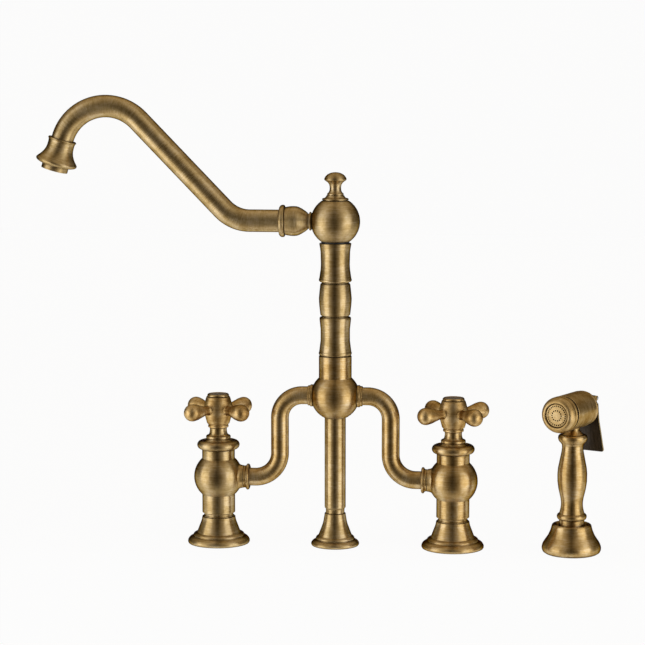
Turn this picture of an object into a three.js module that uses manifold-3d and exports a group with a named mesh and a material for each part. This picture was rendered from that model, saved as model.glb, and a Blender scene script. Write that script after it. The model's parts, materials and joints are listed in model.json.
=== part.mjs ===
// Bridge kitchen faucet: two cross-handle valves joined by a bridge, a swivel spout on a riser,
// and a hand spray with a lever in its own holder.
// Millimetres. Origin on the deck at the axis of the centre leg; +X to the cold valve, -Y to the
// user, +Z up.
import * as THREE from "three";
import { mergeVertices } from "three/addons/utils/BufferGeometryUtils.js";
import Module from "manifold-3d";

const wasm = await Module();
wasm.setup();

// ---------------------------------------------------------------- driving dimensions

const fit = 0.3; // clearance between pieces that meet
const valveSpread = 101.6; // centre leg to a valve
const sprayX = 203.2; // centre leg to the hand spray
const sprayY = -8; // the spray stands a little forward
const sprayTurn = -26.5; // degrees the spray head looks away from the user, to the left

const valveAxisZ = 58.3; // side ports of the valves
const valveBallR = 21.2;
const valveBarrelR = 14.2; // cylinder under the ball
const valveNeckR = 14.15; // neck over the ball
const valveNeckLength = 8; // from the ball to the bonnet
const footHeight = 23.2;
const footRadius = 26.8;
const footRim = 14.3;
const tailRadius = 12.2; // inlet tail inside the foot
const inletRadius = 7.3; // socket for the supply
const chamberRadius = 11.2; // bore that takes the cartridge
const waterRadius = 5.5; // inlet waterway

const bonnetRingR = 14.65; // centre circle of the fat torus
const bonnetRingSection = 3.7;
const bonnetHeight = 18.6; // foot of the torus to the neck's top
const stemRadius = 4;
const stemSquare = 5.6;
const handleHeight = 26.7;
const handleHubR = 12.15;
const armReach = 29; // axis to the centre of an arm's round end
const armEndR = 7.35;
const armNeckR = 3.6;
const armRise = 15.7; // arms above the handle's foot
const screwHeadHeight = 3;
const capPlugDepth = 3; // index cap's plug in the handle
const handleClock = 5; // degrees the cross handles stand off the diagonal

const tubeRadius = 7.7; // bridge tubes
const tubeWall = 1.2;
const bossRadius = 9.3;
const bossReach = 22.1; // valve axis to the end of its side boss
const crossX = 47.9; // upright run of a bridge tube
const lowerBend = 21.5;
const upperBend = 19.6;

const hubZ = 130.4; // ball where the bridge meets the leg
const ballR = 21.1; // hub ball and spout ball
const spoutCut = 12.63; // radius of the flat under the spout ball
const finialSeatR = 11.5; // recess in the top of the spout ball
const hubBaseR = 14.05;
const hubTop = 165;
const legRadius = 9.08;
const legFootHeight = 28;
const legFootRadius = 20.7;
const legFootRim = 9.1;
const legSocketDepth = 8.7; // leg in the hub's ball
const footLip = 1.9; // wall outside the recess for a foot's gasket
const riserRadius = 9.9;
const riserWall = 3.9;
const lowerSleeveLength = 34;
const barrelSleeveLength = 28.3;
const upperSleeveLength = 33.6;
const washerThickness = 1.1;

const spoutTubeR = 9.6;
const spoutWall = 1.5;
const unionLength = 23.2; // spout ball to the end of the egg
const unionFlange = 8.05; // ring of the union on the spout ball
const unionPort = 6.8; // hole in the spout ball for the union
const setScrewR = 1.9;
const firstBend = 32; // radius at the foot of the gooseneck
const firstTurn = 46; // degrees
const slopeLength = 104.5;
const archBend = 39.4; // radius of the arch
const archTurn = 120; // degrees
const footRun = 73.5; // riser axis to the first bend
const nozzleLength = 23.1;
const nozzleFlare = 17.85;
const aeratorR = 11.5;
const aeratorReach = 4.3; // aerator ring below the nozzle

const holderHeight = 25;
const holderRadius = 25.2;
const holderMouth = 13.6;
const linerTop = 18;
const holderRecess = 20.8; // flange of the liner under the holder
const sprayBulge = 12.65; // grip of the hand spray
const gripTop = 102;
const headZ = 122.4; // axis of the spray head
const headRadius = 15.4;
const headFront = 20.5; // handle axis to the front end of the head's casting
const headRear = 14.6; // handle axis to its rear end
const faceRadius = 10.05;
const pinRise = 8; // lever pin above the head's axis
const pinBack = 26.8; // lever pin behind the handle axis
const pinRadius = 1.4;
const leverDrop = 46.6; // pin to the lever's foot
const leverThickness = 1.8;
const leverPad = 2.3; // pin's axis to the face of the pad that pushes the plunger
const plungerTravel = 1.3; // room for the spring to follow the lever
const wireRadius = 0.45;

// ---------------------------------------------------------------- helpers

const wide = 16; // sides of the widest turned pieces; the others have 12

const rad = THREE.MathUtils.degToRad;

// A closed three.js surface as a solid that can be joined and cut.
function solid(geometry) {
  const bare = geometry.index ? geometry.toNonIndexed() : geometry;
  bare.deleteAttribute("normal");
  bare.deleteAttribute("uv");
  const merged = mergeVertices(bare, 1e-4);
  const corners = merged.index.array;
  const kept = [];
  for (let i = 0; i < corners.length; i += 3) {
    const [a, b, c] = corners.subarray(i, i + 3);
    if (a !== b && b !== c && c !== a) kept.push(a, b, c);
  }
  return new wasm.Manifold(
    new wasm.Mesh({
      numProp: 3,
      vertProperties: merged.attributes.position.array,
      triVerts: new Uint32Array(kept),
    }),
  );
}

// A piece turned about Z. The outline lists [radius, height] and runs from axis to axis, or round
// a ring that is closed here.
function turned(outline, sides = 12) {
  const loop = outline[0][0] === 0 ? outline : [...outline, outline[0]];
  const points = loop.map(([r, z]) => new THREE.Vector2(r, z));
  if (THREE.ShapeUtils.area(points) < 0) points.reverse();
  return solid(new THREE.LatheGeometry(points, sides).rotateX(Math.PI / 2));
}

function rod(radius, from, to, sides = 12) {
  return turned([[0, from], [radius, from], [radius, to], [0, to]], sides);
}

function block(width, depth, from, to) {
  const box = new THREE.BoxGeometry(width, depth, to - from);
  return solid(box.translate(0, 0, (from + to) / 2));
}

// Points on a circle about [r, z], angles in degrees from the outward direction.
function arc(r, z, radius, from, to, steps) {
  return Array.from({ length: steps + 1 }, (_, i) => {
    const a = rad(from + ((to - from) * i) / steps);
    return [r + radius * Math.cos(a), z + radius * Math.sin(a)];
  });
}

// The part of a ball's outline between two radii, from below its centre to above it.
function ball(z, radius, lower, upper, steps) {
  const below = THREE.MathUtils.radToDeg(Math.acos(lower / radius));
  const above = THREE.MathUtils.radToDeg(Math.acos(upper / radius));
  return arc(0, z, radius, -below, above, steps);
}

// A table of shares turned into an outline between two radii and two heights.
function flare(table, inner, outer, foot, height) {
  return table.map(([r, z]) => [inner + r * (outer - inner), foot + z * height]);
}

function circle(radius, sides) {
  return Array.from({ length: sides }, (_, i) => {
    const a = (2 * Math.PI * i) / sides;
    return new THREE.Vector2(radius * Math.cos(a), radius * Math.sin(a));
  });
}

// A path of straight runs and bends in the XZ plane, with one station where each piece starts
// and one every few degrees of a bend, so that straight runs cost no faces.
class Run extends THREE.Curve {
  constructor(start, heading) {
    super();
    this.at = start.clone();
    this.heading = heading; // degrees from +X towards +Z
    this.stations = [[start.clone(), heading]];
  }
  ahead(length) {
    this.at.x += length * Math.cos(rad(this.heading));
    this.at.z += length * Math.sin(rad(this.heading));
    this.stations.push([this.at.clone(), this.heading]);
    return this;
  }
  bend(radius, turn, steps) {
    const side = Math.sign(turn);
    const centre = this.at.clone();
    centre.x -= side * radius * Math.sin(rad(this.heading));
    centre.z += side * radius * Math.cos(rad(this.heading));
    const first = this.heading;
    for (let i = 1; i <= steps; i += 1) {
      this.heading = first + (turn * i) / steps;
      this.at.x = centre.x + side * radius * Math.sin(rad(this.heading));
      this.at.z = centre.z - side * radius * Math.cos(rad(this.heading));
      this.stations.push([this.at.clone(), this.heading]);
    }
    return this;
  }
  nearest(u) {
    return this.stations[Math.round(u * (this.stations.length - 1))];
  }
  getPointAt(u, target = new THREE.Vector3()) {
    return target.copy(this.nearest(u)[0]);
  }
  getTangentAt(u, target = new THREE.Vector3()) {
    const heading = rad(this.nearest(u)[1]);
    return target.set(Math.cos(heading), 0, Math.sin(heading));
  }
}

function pipe(run, radius, wall, sides) {
  const section = new THREE.Shape(circle(radius, sides));
  section.holes.push(new THREE.Path(circle(radius - wall, sides - 4).reverse()));
  const steps = run.stations.length - 1;
  return solid(new THREE.ExtrudeGeometry(section, { steps, extrudePath: run }));
}

// A flat plate of the given outline, from z = 0 up.
function plate(shape, thickness) {
  const options = { depth: thickness, bevelEnabled: false, curveSegments: 1 };
  return solid(new THREE.ExtrudeGeometry(shape, options));
}

function kidney(inner, outer, middle, half) {
  const hole = new THREE.Shape();
  hole.absarc(0, 0, outer, rad(middle - half), rad(middle + half), false);
  hole.absarc(0, 0, inner, rad(middle + half), rad(middle - half), true);
  return hole;
}

const finishes = {
  brass: { color: 0x9a7d4c, roughness: 0.36, metalness: 1 },
  innerBrass: { color: 0xa9884a, roughness: 0.5, metalness: 1 },
  darkMetal: { color: 0x2c2119, roughness: 0.5, metalness: 0.8 },
  steel: { color: 0xb9bbbd, roughness: 0.35, metalness: 1 },
  rubber: { color: 0x17181a, roughness: 0.85, metalness: 0 },
  plastic: { color: 0x1c1d1f, roughness: 0.55, metalness: 0 },
  ceramic: { color: 0xe9e7e0, roughness: 0.25, metalness: 0 },
};

function add(group, name, body, finish) {
  const { vertProperties, triVerts } = body.getMesh();
  const geometry = new THREE.BufferGeometry();
  geometry.setAttribute("position", new THREE.BufferAttribute(vertProperties, 3));
  geometry.setIndex(new THREE.BufferAttribute(triVerts, 1));
  geometry.computeVertexNormals();
  const mesh = new THREE.Mesh(geometry, new THREE.MeshStandardMaterial(finishes[finish]));
  mesh.name = name;
  group.add(mesh);
}

// ---------------------------------------------------------------- feet and their gaskets

const valveFootOutline = [
  [0.984, 0], [1, 0.07], [0.92, 0.175], [0.61, 0.26], [0.624, 0.31], [0.37, 0.4], [0.288, 0.53],
  [0.14, 0.705],
  [0, 1],
];
const legFootOutline = [
  [0.966, 0], [1, 0.05], [0.86, 0.13], [0.612, 0.182], [0.629, 0.235], [0.4, 0.385], [0.28, 0.5],
  [0.1, 0.72],
  [0, 1],
];
const gasketDepth = 1.5;

// Hollow bell over a tail, with a recess for its gasket underneath.
function foot(table, rim, radius, height, bore) {
  const recess = radius - footLip;
  const mouth = bore + fit;
  return turned([
    ...flare(table, rim, radius, 0, height),
    [mouth, height],
    [mouth, height * 0.6],
    [mouth + 0.45 * (recess - mouth), height * 0.3],
    [recess, gasketDepth],
    [recess, 0],
  ], wide);
}

function gasket(radius, bore) {
  const outer = radius - footLip - 3 * fit;
  const inner = bore + 2.3;
  const top = gasketDepth - fit;
  return turned([[inner, 0], [outer, 0], [outer, top], [inner, top]]);
}

// ---------------------------------------------------------------- valves

const bodyFoot = footHeight + fit;
const bodyShoulder = footHeight + 2.8;
const tailEnd = 2;
const ballShoulder = Math.sqrt(valveBallR ** 2 - valveNeckR ** 2);
const bonnetFoot = valveAxisZ + ballShoulder + valveNeckLength + fit;
const spigotRadius = chamberRadius + 1.8;
const spigotTop = bonnetFoot + 3.6;
const seatZ = valveAxisZ - 8.3;
const portRadius = tubeRadius - tubeWall - 0.5;
const tubeSocket = bossReach - 4.4;
const cartridgeRadius = chamberRadius - fit;
const cartridgeTop = bonnetFoot + 5.8;
const bonnetTop = bonnetFoot + bonnetHeight;
const discChamber = cartridgeRadius - 1.7;
const discRadius = discChamber - 2 * fit;
const fixedDiscTop = seatZ + 2.9;
const movingDiscFoot = fixedDiscTop + fit;
const movingDiscTop = movingDiscFoot + 2;
const discSlot = 6;
const collarRadius = stemRadius + 2.5;
const collarFoot = movingDiscTop + 7.8;
const collarTop = collarFoot + 5.1;
const handleFoot = bonnetTop + fit;
const handleTop = handleFoot + handleHeight;
const broachTop = handleFoot + 13;
const capFoot = handleTop - capPlugDepth;
const screwSeat = capFoot - screwHeadHeight - 2 * fit;
const screwRadius = 1.9;
const capPlug = 5.7;

function valveBody() {
  const shell = turned([
    [0, tailEnd],
    [tailRadius, tailEnd],
    [tailRadius, bodyFoot],
    [tailRadius + 1.2, bodyFoot],
    [tailRadius + 1.2, bodyShoulder],
    [valveBarrelR, bodyShoulder + 1.3],
    ...ball(valveAxisZ, valveBallR, valveBarrelR, valveNeckR, 6),
    [valveNeckR, bonnetFoot - fit],
    [spigotRadius, bonnetFoot - fit],
    [spigotRadius, spigotTop],
    [0, spigotTop],
  ], wide);
  const bore = turned([
    [0, tailEnd - 1],
    [inletRadius, tailEnd - 1],
    [inletRadius, tailEnd + 10],
    [waterRadius, tailEnd + 10],
    [waterRadius, seatZ],
    [chamberRadius, seatZ],
    [chamberRadius, spigotTop + 1],
    [0, spigotTop + 1],
  ]);
  const boss = rod(bossRadius, 0, bossReach).rotate([0, 90, 0]);
  const port = turned([
    [0, 0],
    [portRadius, 0],
    [portRadius, tubeSocket],
    [tubeRadius + fit, tubeSocket],
    [tubeRadius + fit, bossReach + 1],
    [0, bossReach + 1],
  ]).rotate([0, 90, 0]);
  const side = boss.subtract(port).translate([0, 0, valveAxisZ]);
  const passage = port.translate([0, 0, valveAxisZ]);
  return shell.subtract(passage).add(side).subtract(bore);
}

function bonnet() {
  const z = bonnetFoot;
  const ringZ = z + bonnetRingSection;
  return turned([
    [spigotRadius + fit, z],
    ...arc(bonnetRingR, ringZ, bonnetRingSection, -90, 110, 4),
    [11.1, ringZ + 3.8],
    [9.85, ringZ + 5.4],
    [10.55, ringZ + 6.1],
    [10.55, ringZ + 7.8],
    [8.5, ringZ + 9.5],
    [7.6, bonnetTop],
    [stemRadius + fit, bonnetTop],
    [stemRadius + fit, cartridgeTop + fit],
    [chamberRadius, cartridgeTop + fit],
    [chamberRadius, spigotTop + fit],
    [spigotRadius + fit, spigotTop + fit],
  ], wide);
}

function cartridge() {
  const foot = seatZ + fit;
  const ledge = collarFoot - 0.5;
  const housing = turned([
    [discChamber, foot],
    [cartridgeRadius, foot],
    [cartridgeRadius, cartridgeTop],
    [stemRadius + fit, cartridgeTop],
    [stemRadius + fit, collarTop + fit],
    [collarRadius + fit, collarTop + fit],
    [collarRadius + fit, ledge],
    [discChamber, ledge],
  ]);
  return housing.subtract(block(40, 10, movingDiscTop + 0.6, ledge - 0.5));
}

function disc(angle, slotted) {
  const outline = new THREE.Shape(circle(discRadius, 12));
  for (const turn of [angle, angle + 180]) {
    outline.holes.push(kidney(4.3, discRadius - 1.2, turn, 32));
  }
  if (slotted) {
    const half = discSlot / 2;
    outline.holes.push(
      new THREE.Path([
        new THREE.Vector2(-half, -1.4),
        new THREE.Vector2(-half, 1.4),
        new THREE.Vector2(half, 1.4),
        new THREE.Vector2(half, -1.4),
      ]),
    );
  }
  const thickness = slotted ? movingDiscTop - movingDiscFoot : fixedDiscTop - seatZ - fit;
  return plate(outline, thickness).translate([0, 0, slotted ? movingDiscFoot : seatZ + fit]);
}

function stem() {
  const shaft = turned([
    [0, movingDiscTop + fit],
    [3.4, movingDiscTop + fit],
    [3.4, collarFoot],
    [collarRadius, collarFoot],
    [collarRadius, collarTop],
    [stemRadius, collarTop],
    [stemRadius, bonnetTop],
    [0, bonnetTop],
  ], 10);
  const tang = block(discSlot - 2 * fit, 2.2, movingDiscFoot + fit, movingDiscTop + 1);
  const square = block(stemSquare, stemSquare, bonnetTop - 1, broachTop - fit);
  const hole = rod(screwRadius + fit, handleFoot + 3.7, broachTop + 1, 8);
  return shaft.add(tang).add(square).subtract(hole);
}

// An arm of the cross handle, in shares of its neck's radius and of its reach.
const armOutline = [[0, 0.276], [1.47, 0.372], [1, 0.483], [1.19, 0.655], [1.72, 0.855]];

function handle(clock) {
  const hub = turned([
    [0, handleFoot],
    [8.85, handleFoot],
    [8.85, handleFoot + 2.3],
    [8.5, handleFoot + 2.8],
    [9.45, handleFoot + 3.3],
    ...flare([[0.42, 0.33], [0.92, 0.52], [1, 0.66], [0.78, 0.84]], 10.1, handleHubR, handleFoot,
      handleHeight),
    [10.1, handleTop],
    [0, handleTop],
  ]);
  const shape = flare(armOutline, 0, armNeckR, 0, armReach);
  const arm = turned([...shape, ...arc(0, armReach, armEndR, 0, 90, 3)], 8);
  let body = hub;
  for (const quarter of [0, 90, 180, 270]) {
    const turn = 45 + clock + quarter;
    body = body.add(arm.rotate([0, 90, turn]).translate([0, 0, handleFoot + armRise]));
  }
  const side = stemSquare + 2 * fit;
  const broach = block(side, side, handleFoot - 1, broachTop);
  const hole = rod(screwRadius + fit, broachTop - 1, screwSeat + 1, 8);
  const pocket = rod(capPlug + fit, screwSeat, handleTop + 1);
  return body.subtract(broach).subtract(hole).subtract(pocket);
}

function indexCap() {
  const z = handleTop + fit;
  return turned([
    [0, capFoot], [capPlug, capFoot], [capPlug, z], [9.25, z], [9.25, z + 1.4], [8.3, z + 2.1],
    [0, z + 2.3],
  ]);
}

function handleScrew() {
  const z = screwSeat + fit;
  const head = capPlug - 1.2;
  const screw = turned([
    [0, handleFoot + 4.7], [screwRadius, handleFoot + 4.7], [screwRadius, z], [head, z],
    [head, z + screwHeadHeight - 0.6], [0, z + screwHeadHeight],
  ], 8);
  return screw.subtract(block(12, 1.1, z + screwHeadHeight / 2, z + 4));
}

function tubeCollar() {
  const s = bossReach + fit;
  return turned([
    [tubeRadius + fit, s], [10.3, s], [11.25, s + 1.2], [11.1, s + 2.3], [8.5, s + 4.7],
    [tubeRadius + fit, s + 4.8],
  ]).rotate([0, 90, 0]).translate([0, 0, valveAxisZ]);
}

const hubSocket = 12; // hub axis to the floor of a bridge socket

// In a valve's own frame, with the centre of the faucet towards +X.
function bridgeTube() {
  const start = new THREE.Vector3(tubeSocket + fit, 0, valveAxisZ);
  const upright = valveSpread - crossX;
  const run = new Run(start, 0)
    .ahead(upright - lowerBend - start.x)
    .bend(lowerBend, 90, 4)
    .ahead(hubZ - valveAxisZ - lowerBend - upperBend)
    .bend(upperBend, -90, 4)
    .ahead(crossX - upperBend - hubSocket - fit);
  return pipe(run, tubeRadius, tubeWall, 12);
}

function valve(side, x, turn) {
  const group = new THREE.Group();
  const moved = side === "hot" ? handleClock : -handleClock;
  add(group, side + "_foot", foot(valveFootOutline, footRim, footRadius, footHeight, tailRadius), "brass");
  add(group, side + "_foot_gasket", gasket(footRadius, tailRadius), "rubber");
  add(group, side + "_body", valveBody(), "brass");
  add(group, side + "_bonnet", bonnet(), "brass");
  add(group, side + "_cartridge", cartridge(), "innerBrass");
  add(group, side + "_fixed_disc", disc(0, false), "ceramic");
  add(group, side + "_moving_disc", disc(90, true), "ceramic");
  add(group, side + "_stem", stem(), "innerBrass");
  add(group, side + "_handle", handle(moved), "brass");
  add(group, side + "_index_cap", indexCap(), "brass");
  add(group, side + "_handle_screw", handleScrew(), "steel");
  add(group, side + "_tube_collar", tubeCollar(), "brass");
  add(group, side + "_bridge_tube", bridgeTube(), "brass");
  group.position.x = x;
  group.rotation.z = rad(turn);
  return group;
}

// ---------------------------------------------------------------- hub, leg and riser

const riserBore = riserRadius - riserWall;
const riserFoot = hubTop - 14.7;
const sleeveBore = riserRadius + fit;
const lowerSleeveFoot = hubTop + fit;
const barrelFoot = lowerSleeveFoot + lowerSleeveLength + fit;
const upperSleeveFoot = barrelFoot + barrelSleeveLength + fit;
const washerFoot = upperSleeveFoot + upperSleeveLength + fit;
const spoutFoot = washerFoot + washerThickness + fit;
const spoutZ = spoutFoot + Math.sqrt(ballR ** 2 - spoutCut ** 2);
const finialFoot = spoutZ + Math.sqrt(ballR ** 2 - (finialSeatR + 1) ** 2);
const spoutChamberTop = spoutZ + unionPort + 0.8;
const riserTop = spoutZ - unionPort + 0.4;
const screwZ = spoutFoot + 3.2; // set screw in the spout ball
const spotFace = Math.sqrt(ballR ** 2 - 9.5 ** 2); // flat for a hub collar
const divertSeat = hubZ + 9.6;
const legStop = hubZ - ballR + legSocketDepth;

function hub() {
  const shell = turned([
    [0, hubZ - ballR],
    ...arc(0, hubZ, ballR, -78, THREE.MathUtils.radToDeg(Math.acos(hubBaseR / ballR)), 7),
    [hubBaseR, hubTop],
    [0, hubTop],
  ], wide);
  const bore = turned([
    [0, hubZ - ballR - 1],
    [legRadius + fit, hubZ - ballR - 1],
    [legRadius + fit, legStop],
    [5, legStop],
    [5, divertSeat],
    [riserRadius - 1.7, divertSeat],
    [riserRadius - 1.7, riserFoot - fit],
    [sleeveBore, riserFoot - fit],
    [sleeveBore, hubTop + 1],
    [0, hubTop + 1],
  ]);
  const port = turned([
    [0, -1],
    [portRadius, -1],
    [portRadius, hubSocket],
    [tubeRadius + fit, hubSocket],
    [tubeRadius + fit, spotFace],
    [ballR, spotFace],
    [ballR, ballR + 1],
    [0, ballR + 1],
  ]).rotate([0, 90, 0]).translate([0, 0, hubZ]);
  return shell.subtract(bore).subtract(port).subtract(port.rotate([0, 0, 180]));
}

function hubCollar(turn) {
  const s = spotFace + fit;
  return turned([
    [tubeRadius + fit, s], [9.5, s], [9.5, s + 3.9], [9.1, s + 4.4], [tubeRadius + fit, s + 4.4],
  ]).rotate([0, 90, turn]).translate([0, 0, hubZ]);
}

// Turned sleeve on the riser; the table lists [radius, share of the length].
function sleeve(table, from, length) {
  const outline = table.map(([r, z]) => [r, from + z * length]);
  return turned([[sleeveBore, from], ...outline, [sleeveBore, from + length]]);
}

const lowerSleeveOutline = [
  [13.8, 0], [14.1, 0.05], [14.1, 0.09], [13.2, 0.225], [12.4, 0.46], [12.6, 0.68], [13.3, 0.86],
  [13.45, 0.965], [12.8, 1],
];
const barrelSleeveOutline = [
  [12.45, 0], [13.2, 0.14], [13.8, 0.34], [14.07, 0.51], [13.8, 0.68], [13.2, 0.86], [12.55, 1],
];
const upperSleeveOutline = [
  [12.75, 0], [14.05, 0.05], [14.05, 0.085], [13.1, 0.2], [12.35, 0.42], [12.4, 0.66],
  [13.15, 0.88], [13.6, 0.965], [13.6, 1],
];

function riser() {
  const groove = riserRadius - 1.3;
  const half = setScrewR + 0.4;
  return turned([
    [riserBore, riserFoot],
    [riserRadius, riserFoot],
    [riserRadius, screwZ - half],
    [groove, screwZ - half],
    [groove, screwZ + half],
    [riserRadius, screwZ + half],
    [riserRadius, riserTop],
    [riserBore, riserTop],
  ]);
}

function swivelWasher() {
  const top = washerFoot + washerThickness;
  return turned([[sleeveBore, washerFoot], [12.1, washerFoot], [12.1, top], [sleeveBore, top]]);
}

function poppet() {
  const z = divertSeat + fit;
  const body = turned([
    [0, z - 5.5], [1.6, z - 5.5], [1.6, z], [7.4, z], [7.4, z + 1.8], [0, z + 2.8],
  ], 10);
  const wing = block(9, 1, z - 5, z + 0.5);
  return body.add(wing).add(wing.rotate([0, 0, 90]));
}

const legTail = legFootRim - 1.9;
const legShoulder = legFootHeight + 4;
const legBore = 5;

function leg() {
  const neck = legTail + 0.85;
  const top = legStop - fit;
  return turned([
    [legBore, 2.3],
    [legTail, 2.3],
    [legTail, legFootHeight + fit],
    [neck, legFootHeight + fit],
    [neck, legShoulder],
    [legRadius, legShoulder + 1.3],
    [legRadius, top],
    [legBore, top],
  ]);
}

function checkValve() {
  const barrel = legBore - fit;
  const flange = legTail - 0.4;
  const wall = barrel - 1.1;
  const body = turned([
    [0, 0], [flange, 0], [flange, 2], [barrel, 2], [barrel, 15], [wall, 15], [wall, 2.5], [0, 2.5],
  ]);
  return [30, 150, 270].reduce((piece, angle) => {
    const slot = plate(kidney(2.2, wall - 0.2, angle, 40), 4);
    return piece.subtract(slot.translate([0, 0, -1]));
  }, body);
}

// ---------------------------------------------------------------- spout

const ballFace = Math.sqrt(ballR ** 2 - unionFlange ** 2); // flat where the union meets the ball
const unionFoot = ballFace + fit;
const unionEnd = unionFoot + unionLength;
const tubeFoot = unionEnd - 7;
const nozzleSocket = 8; // depth of the tube in the nozzle

const spoutPath = new Run(new THREE.Vector3(-tubeFoot, 0, spoutZ), 180)
  .ahead(footRun - tubeFoot)
  .bend(firstBend, -firstTurn, 4)
  .ahead(slopeLength)
  .bend(archBend, archTurn, 9);
const archEnd = spoutPath.at.clone();
const outletHeading = spoutPath.heading;
spoutPath.ahead(nozzleSocket);

function spoutBall() {
  const cut = THREE.MathUtils.radToDeg(Math.asin((spoutZ - spoutFoot) / ballR));
  const shell = turned([[0, spoutFoot], ...arc(0, spoutZ, ballR, -cut, 90, 8)], wide);
  const bore = turned([
    [0, spoutFoot - 1],
    [sleeveBore, spoutFoot - 1],
    [sleeveBore, riserTop + fit],
    [riserRadius - 1.9, riserTop + fit],
    [riserRadius - 1.9, spoutChamberTop],
    [5, spoutChamberTop],
    [5, finialFoot],
    [finialSeatR, finialFoot],
    [finialSeatR, spoutZ + ballR + 1],
    [0, spoutZ + ballR + 1],
  ]);
  const port = turned([
    [0, 0], [unionPort, 0], [unionPort, ballFace], [ballR, ballFace], [ballR, ballR + 1],
    [0, ballR + 1],
  ]).rotate([0, -90, 0]).translate([0, 0, spoutZ]);
  const tapped = rod(setScrewR + fit, riserRadius - 0.5, ballR, 8)
    .rotate([-90, 0, 0])
    .translate([0, 0, screwZ]);
  return shell.subtract(bore).subtract(port).subtract(tapped);
}

function spoutSetScrew() {
  const screw = rod(setScrewR, riserRadius - 0.9, riserRadius + 4.6, 8);
  const socket = rod(setScrewR / 2, riserRadius + 2.4, riserRadius + 6, 6);
  return screw.subtract(socket).rotate([-90, 0, 0]).translate([0, 0, screwZ]);
}

function finial() {
  const z = finialFoot + fit;
  const flange = finialSeatR - 0.25;
  return turned([
    [0, z - 8.7], [4.7, z - 8.7], [4.7, z], [flange, z], [flange, z + 1.1], [9.4, z + 1.8],
    [7.4, z + 3.7],
    [7, z + 6.4],
    [5.6, z + 8.1],
    [4.6, z + 11],
    [5.9, z + 13.8],
    [9, z + 17.3],
    [9.5, z + 18.4],
    [8.6, z + 20.7],
    [5.8, z + 23.3],
    [0, z + 24.6],
  ]);
}

function spoutUnion() {
  const s = unionFoot;
  const tail = unionPort - fit;
  return turned([
    [5, s - 9.3], [tail, s - 9.3], [tail, s], [unionFlange, s], [unionFlange, s + 2.3], [6.8, s + 4.2],
    [8.6, s + 5.8],
    [11.3, s + 9.9],
    [12.75, s + 14.8],
    [12.65, s + 18.5],
    [11.8, unionEnd],
    [spoutTubeR + fit, unionEnd],
    [spoutTubeR + fit, tubeFoot - fit],
    [spoutTubeR - spoutWall, tubeFoot - fit],
    [5, tubeFoot - 6],
  ]).rotate([0, -90, 0]).translate([0, 0, spoutZ]);
}

function spoutRing() {
  const s = unionEnd + fit;
  const inner = spoutTubeR + fit;
  return turned([
    [inner, s], [13, s], [13.8, s + 1.5], [13.6, s + 3.2], [12.2, s + 4.6], [inner, s + 4.6],
  ]).rotate([0, -90, 0]).translate([0, 0, spoutZ]);
}

// Pieces of the outlet are turned along the spout's last heading.
function atOutlet(body) {
  return body.rotate([0, 90 - outletHeading, 0]).translate([archEnd.x, 0, archEnd.z]);
}

const aeratorTop = nozzleLength - 10.3;
const aeratorEnd = nozzleLength + aeratorReach;

function nozzle() {
  const rim = spoutTubeR + fit;
  const bore = spoutTubeR - spoutWall;
  return atOutlet(turned([
    [rim, 0],
    [12.2, 0],
    [12.2, 1.4],
    ...flare([[0, 0.18], [0.1, 0.44], [0.38, 0.63], [0.84, 0.81], [1, 0.87], [0.9, 0.93], [0.48, 1]],
      11.4, nozzleFlare, 0, nozzleLength),
    [aeratorR + fit, nozzleLength],
    [aeratorR + fit, aeratorTop - fit],
    [bore, aeratorTop - fit],
    [bore, nozzleSocket + fit],
    [rim, nozzleSocket + fit],
  ]));
}

function aeratorRing() {
  const ledge = aeratorR - 2.9;
  const inner = aeratorR - 1.7;
  return atOutlet(turned([
    [ledge, aeratorTop], [aeratorR, aeratorTop], [aeratorR, aeratorEnd], [inner, aeratorEnd],
    [inner, aeratorTop + 1.5],
    [ledge, aeratorTop + 1.5],
  ]));
}

// Rings and spokes that break up the stream.
function aeratorInsert() {
  const depth = 2.6;
  const outline = new THREE.Shape(circle(aeratorR - 2, 12));
  for (let i = 0; i < 6; i += 1) outline.holes.push(kidney(3, aeratorR - 3.2, 60 * i, 24));
  return atOutlet(plate(outline, depth).translate([0, 0, aeratorEnd - 0.9 - depth]));
}

// ---------------------------------------------------------------- hand spray

const coneTop = [10.7, linerTop + 2];
const coneFoot = [8.2, linerTop - 4];
const gripBore = 4.5;
const neckSpigot = 6;
const pinZ = headZ + pinRise;

// In shares of the holder's radius and height.
const holderOutline = [
  [0.893, 0], [0.988, 0.096], [1, 0.19], [0.976, 0.288], [0.929, 0.392], [0.837, 0.528],
  [0.742, 0.704],
  [0.675, 0.904],
  [0.643, 0.98],
  [0.595, 1],
];

function holder() {
  return turned([
    ...flare(holderOutline, 0, holderRadius, 0, holderHeight),
    [holderMouth, holderHeight - 0.8],
    [holderMouth, holderHeight * 0.64],
    [holderRecess - 0.8, holderHeight * 0.34],
    [holderRecess, gasketDepth],
    [holderRecess, 0],
  ], wide);
}

function holderLiner() {
  const outer = holderMouth - fit;
  return turned([
    [coneFoot[0] + fit, 0],
    [holderRecess - fit, 0],
    [holderRecess - fit, gasketDepth - fit],
    [outer, gasketDepth - fit],
    [outer, linerTop],
    [coneTop[0] - 0.53, linerTop],
    [coneFoot[0] + 0.33, coneFoot[1]],
  ], wide);
}

function sprayCoupling() {
  const z = coneFoot[1] - 2 - fit;
  return turned([
    [2.5, z - 8.2], [7.8, z - 8.2], [7.8, z], [gripBore - fit, z], [gripBore - fit, z + 10],
    [2.5, z + 10],
  ]);
}

// The grip, in shares of its bulge and of its top.
const gripOutline = [
  [0.85, 0.504], [0.964, 0.574], [1, 0.637], [0.988, 0.701], [0.866, 0.784], [0.743, 0.859],
  [0.719, 0.907],
];

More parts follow.
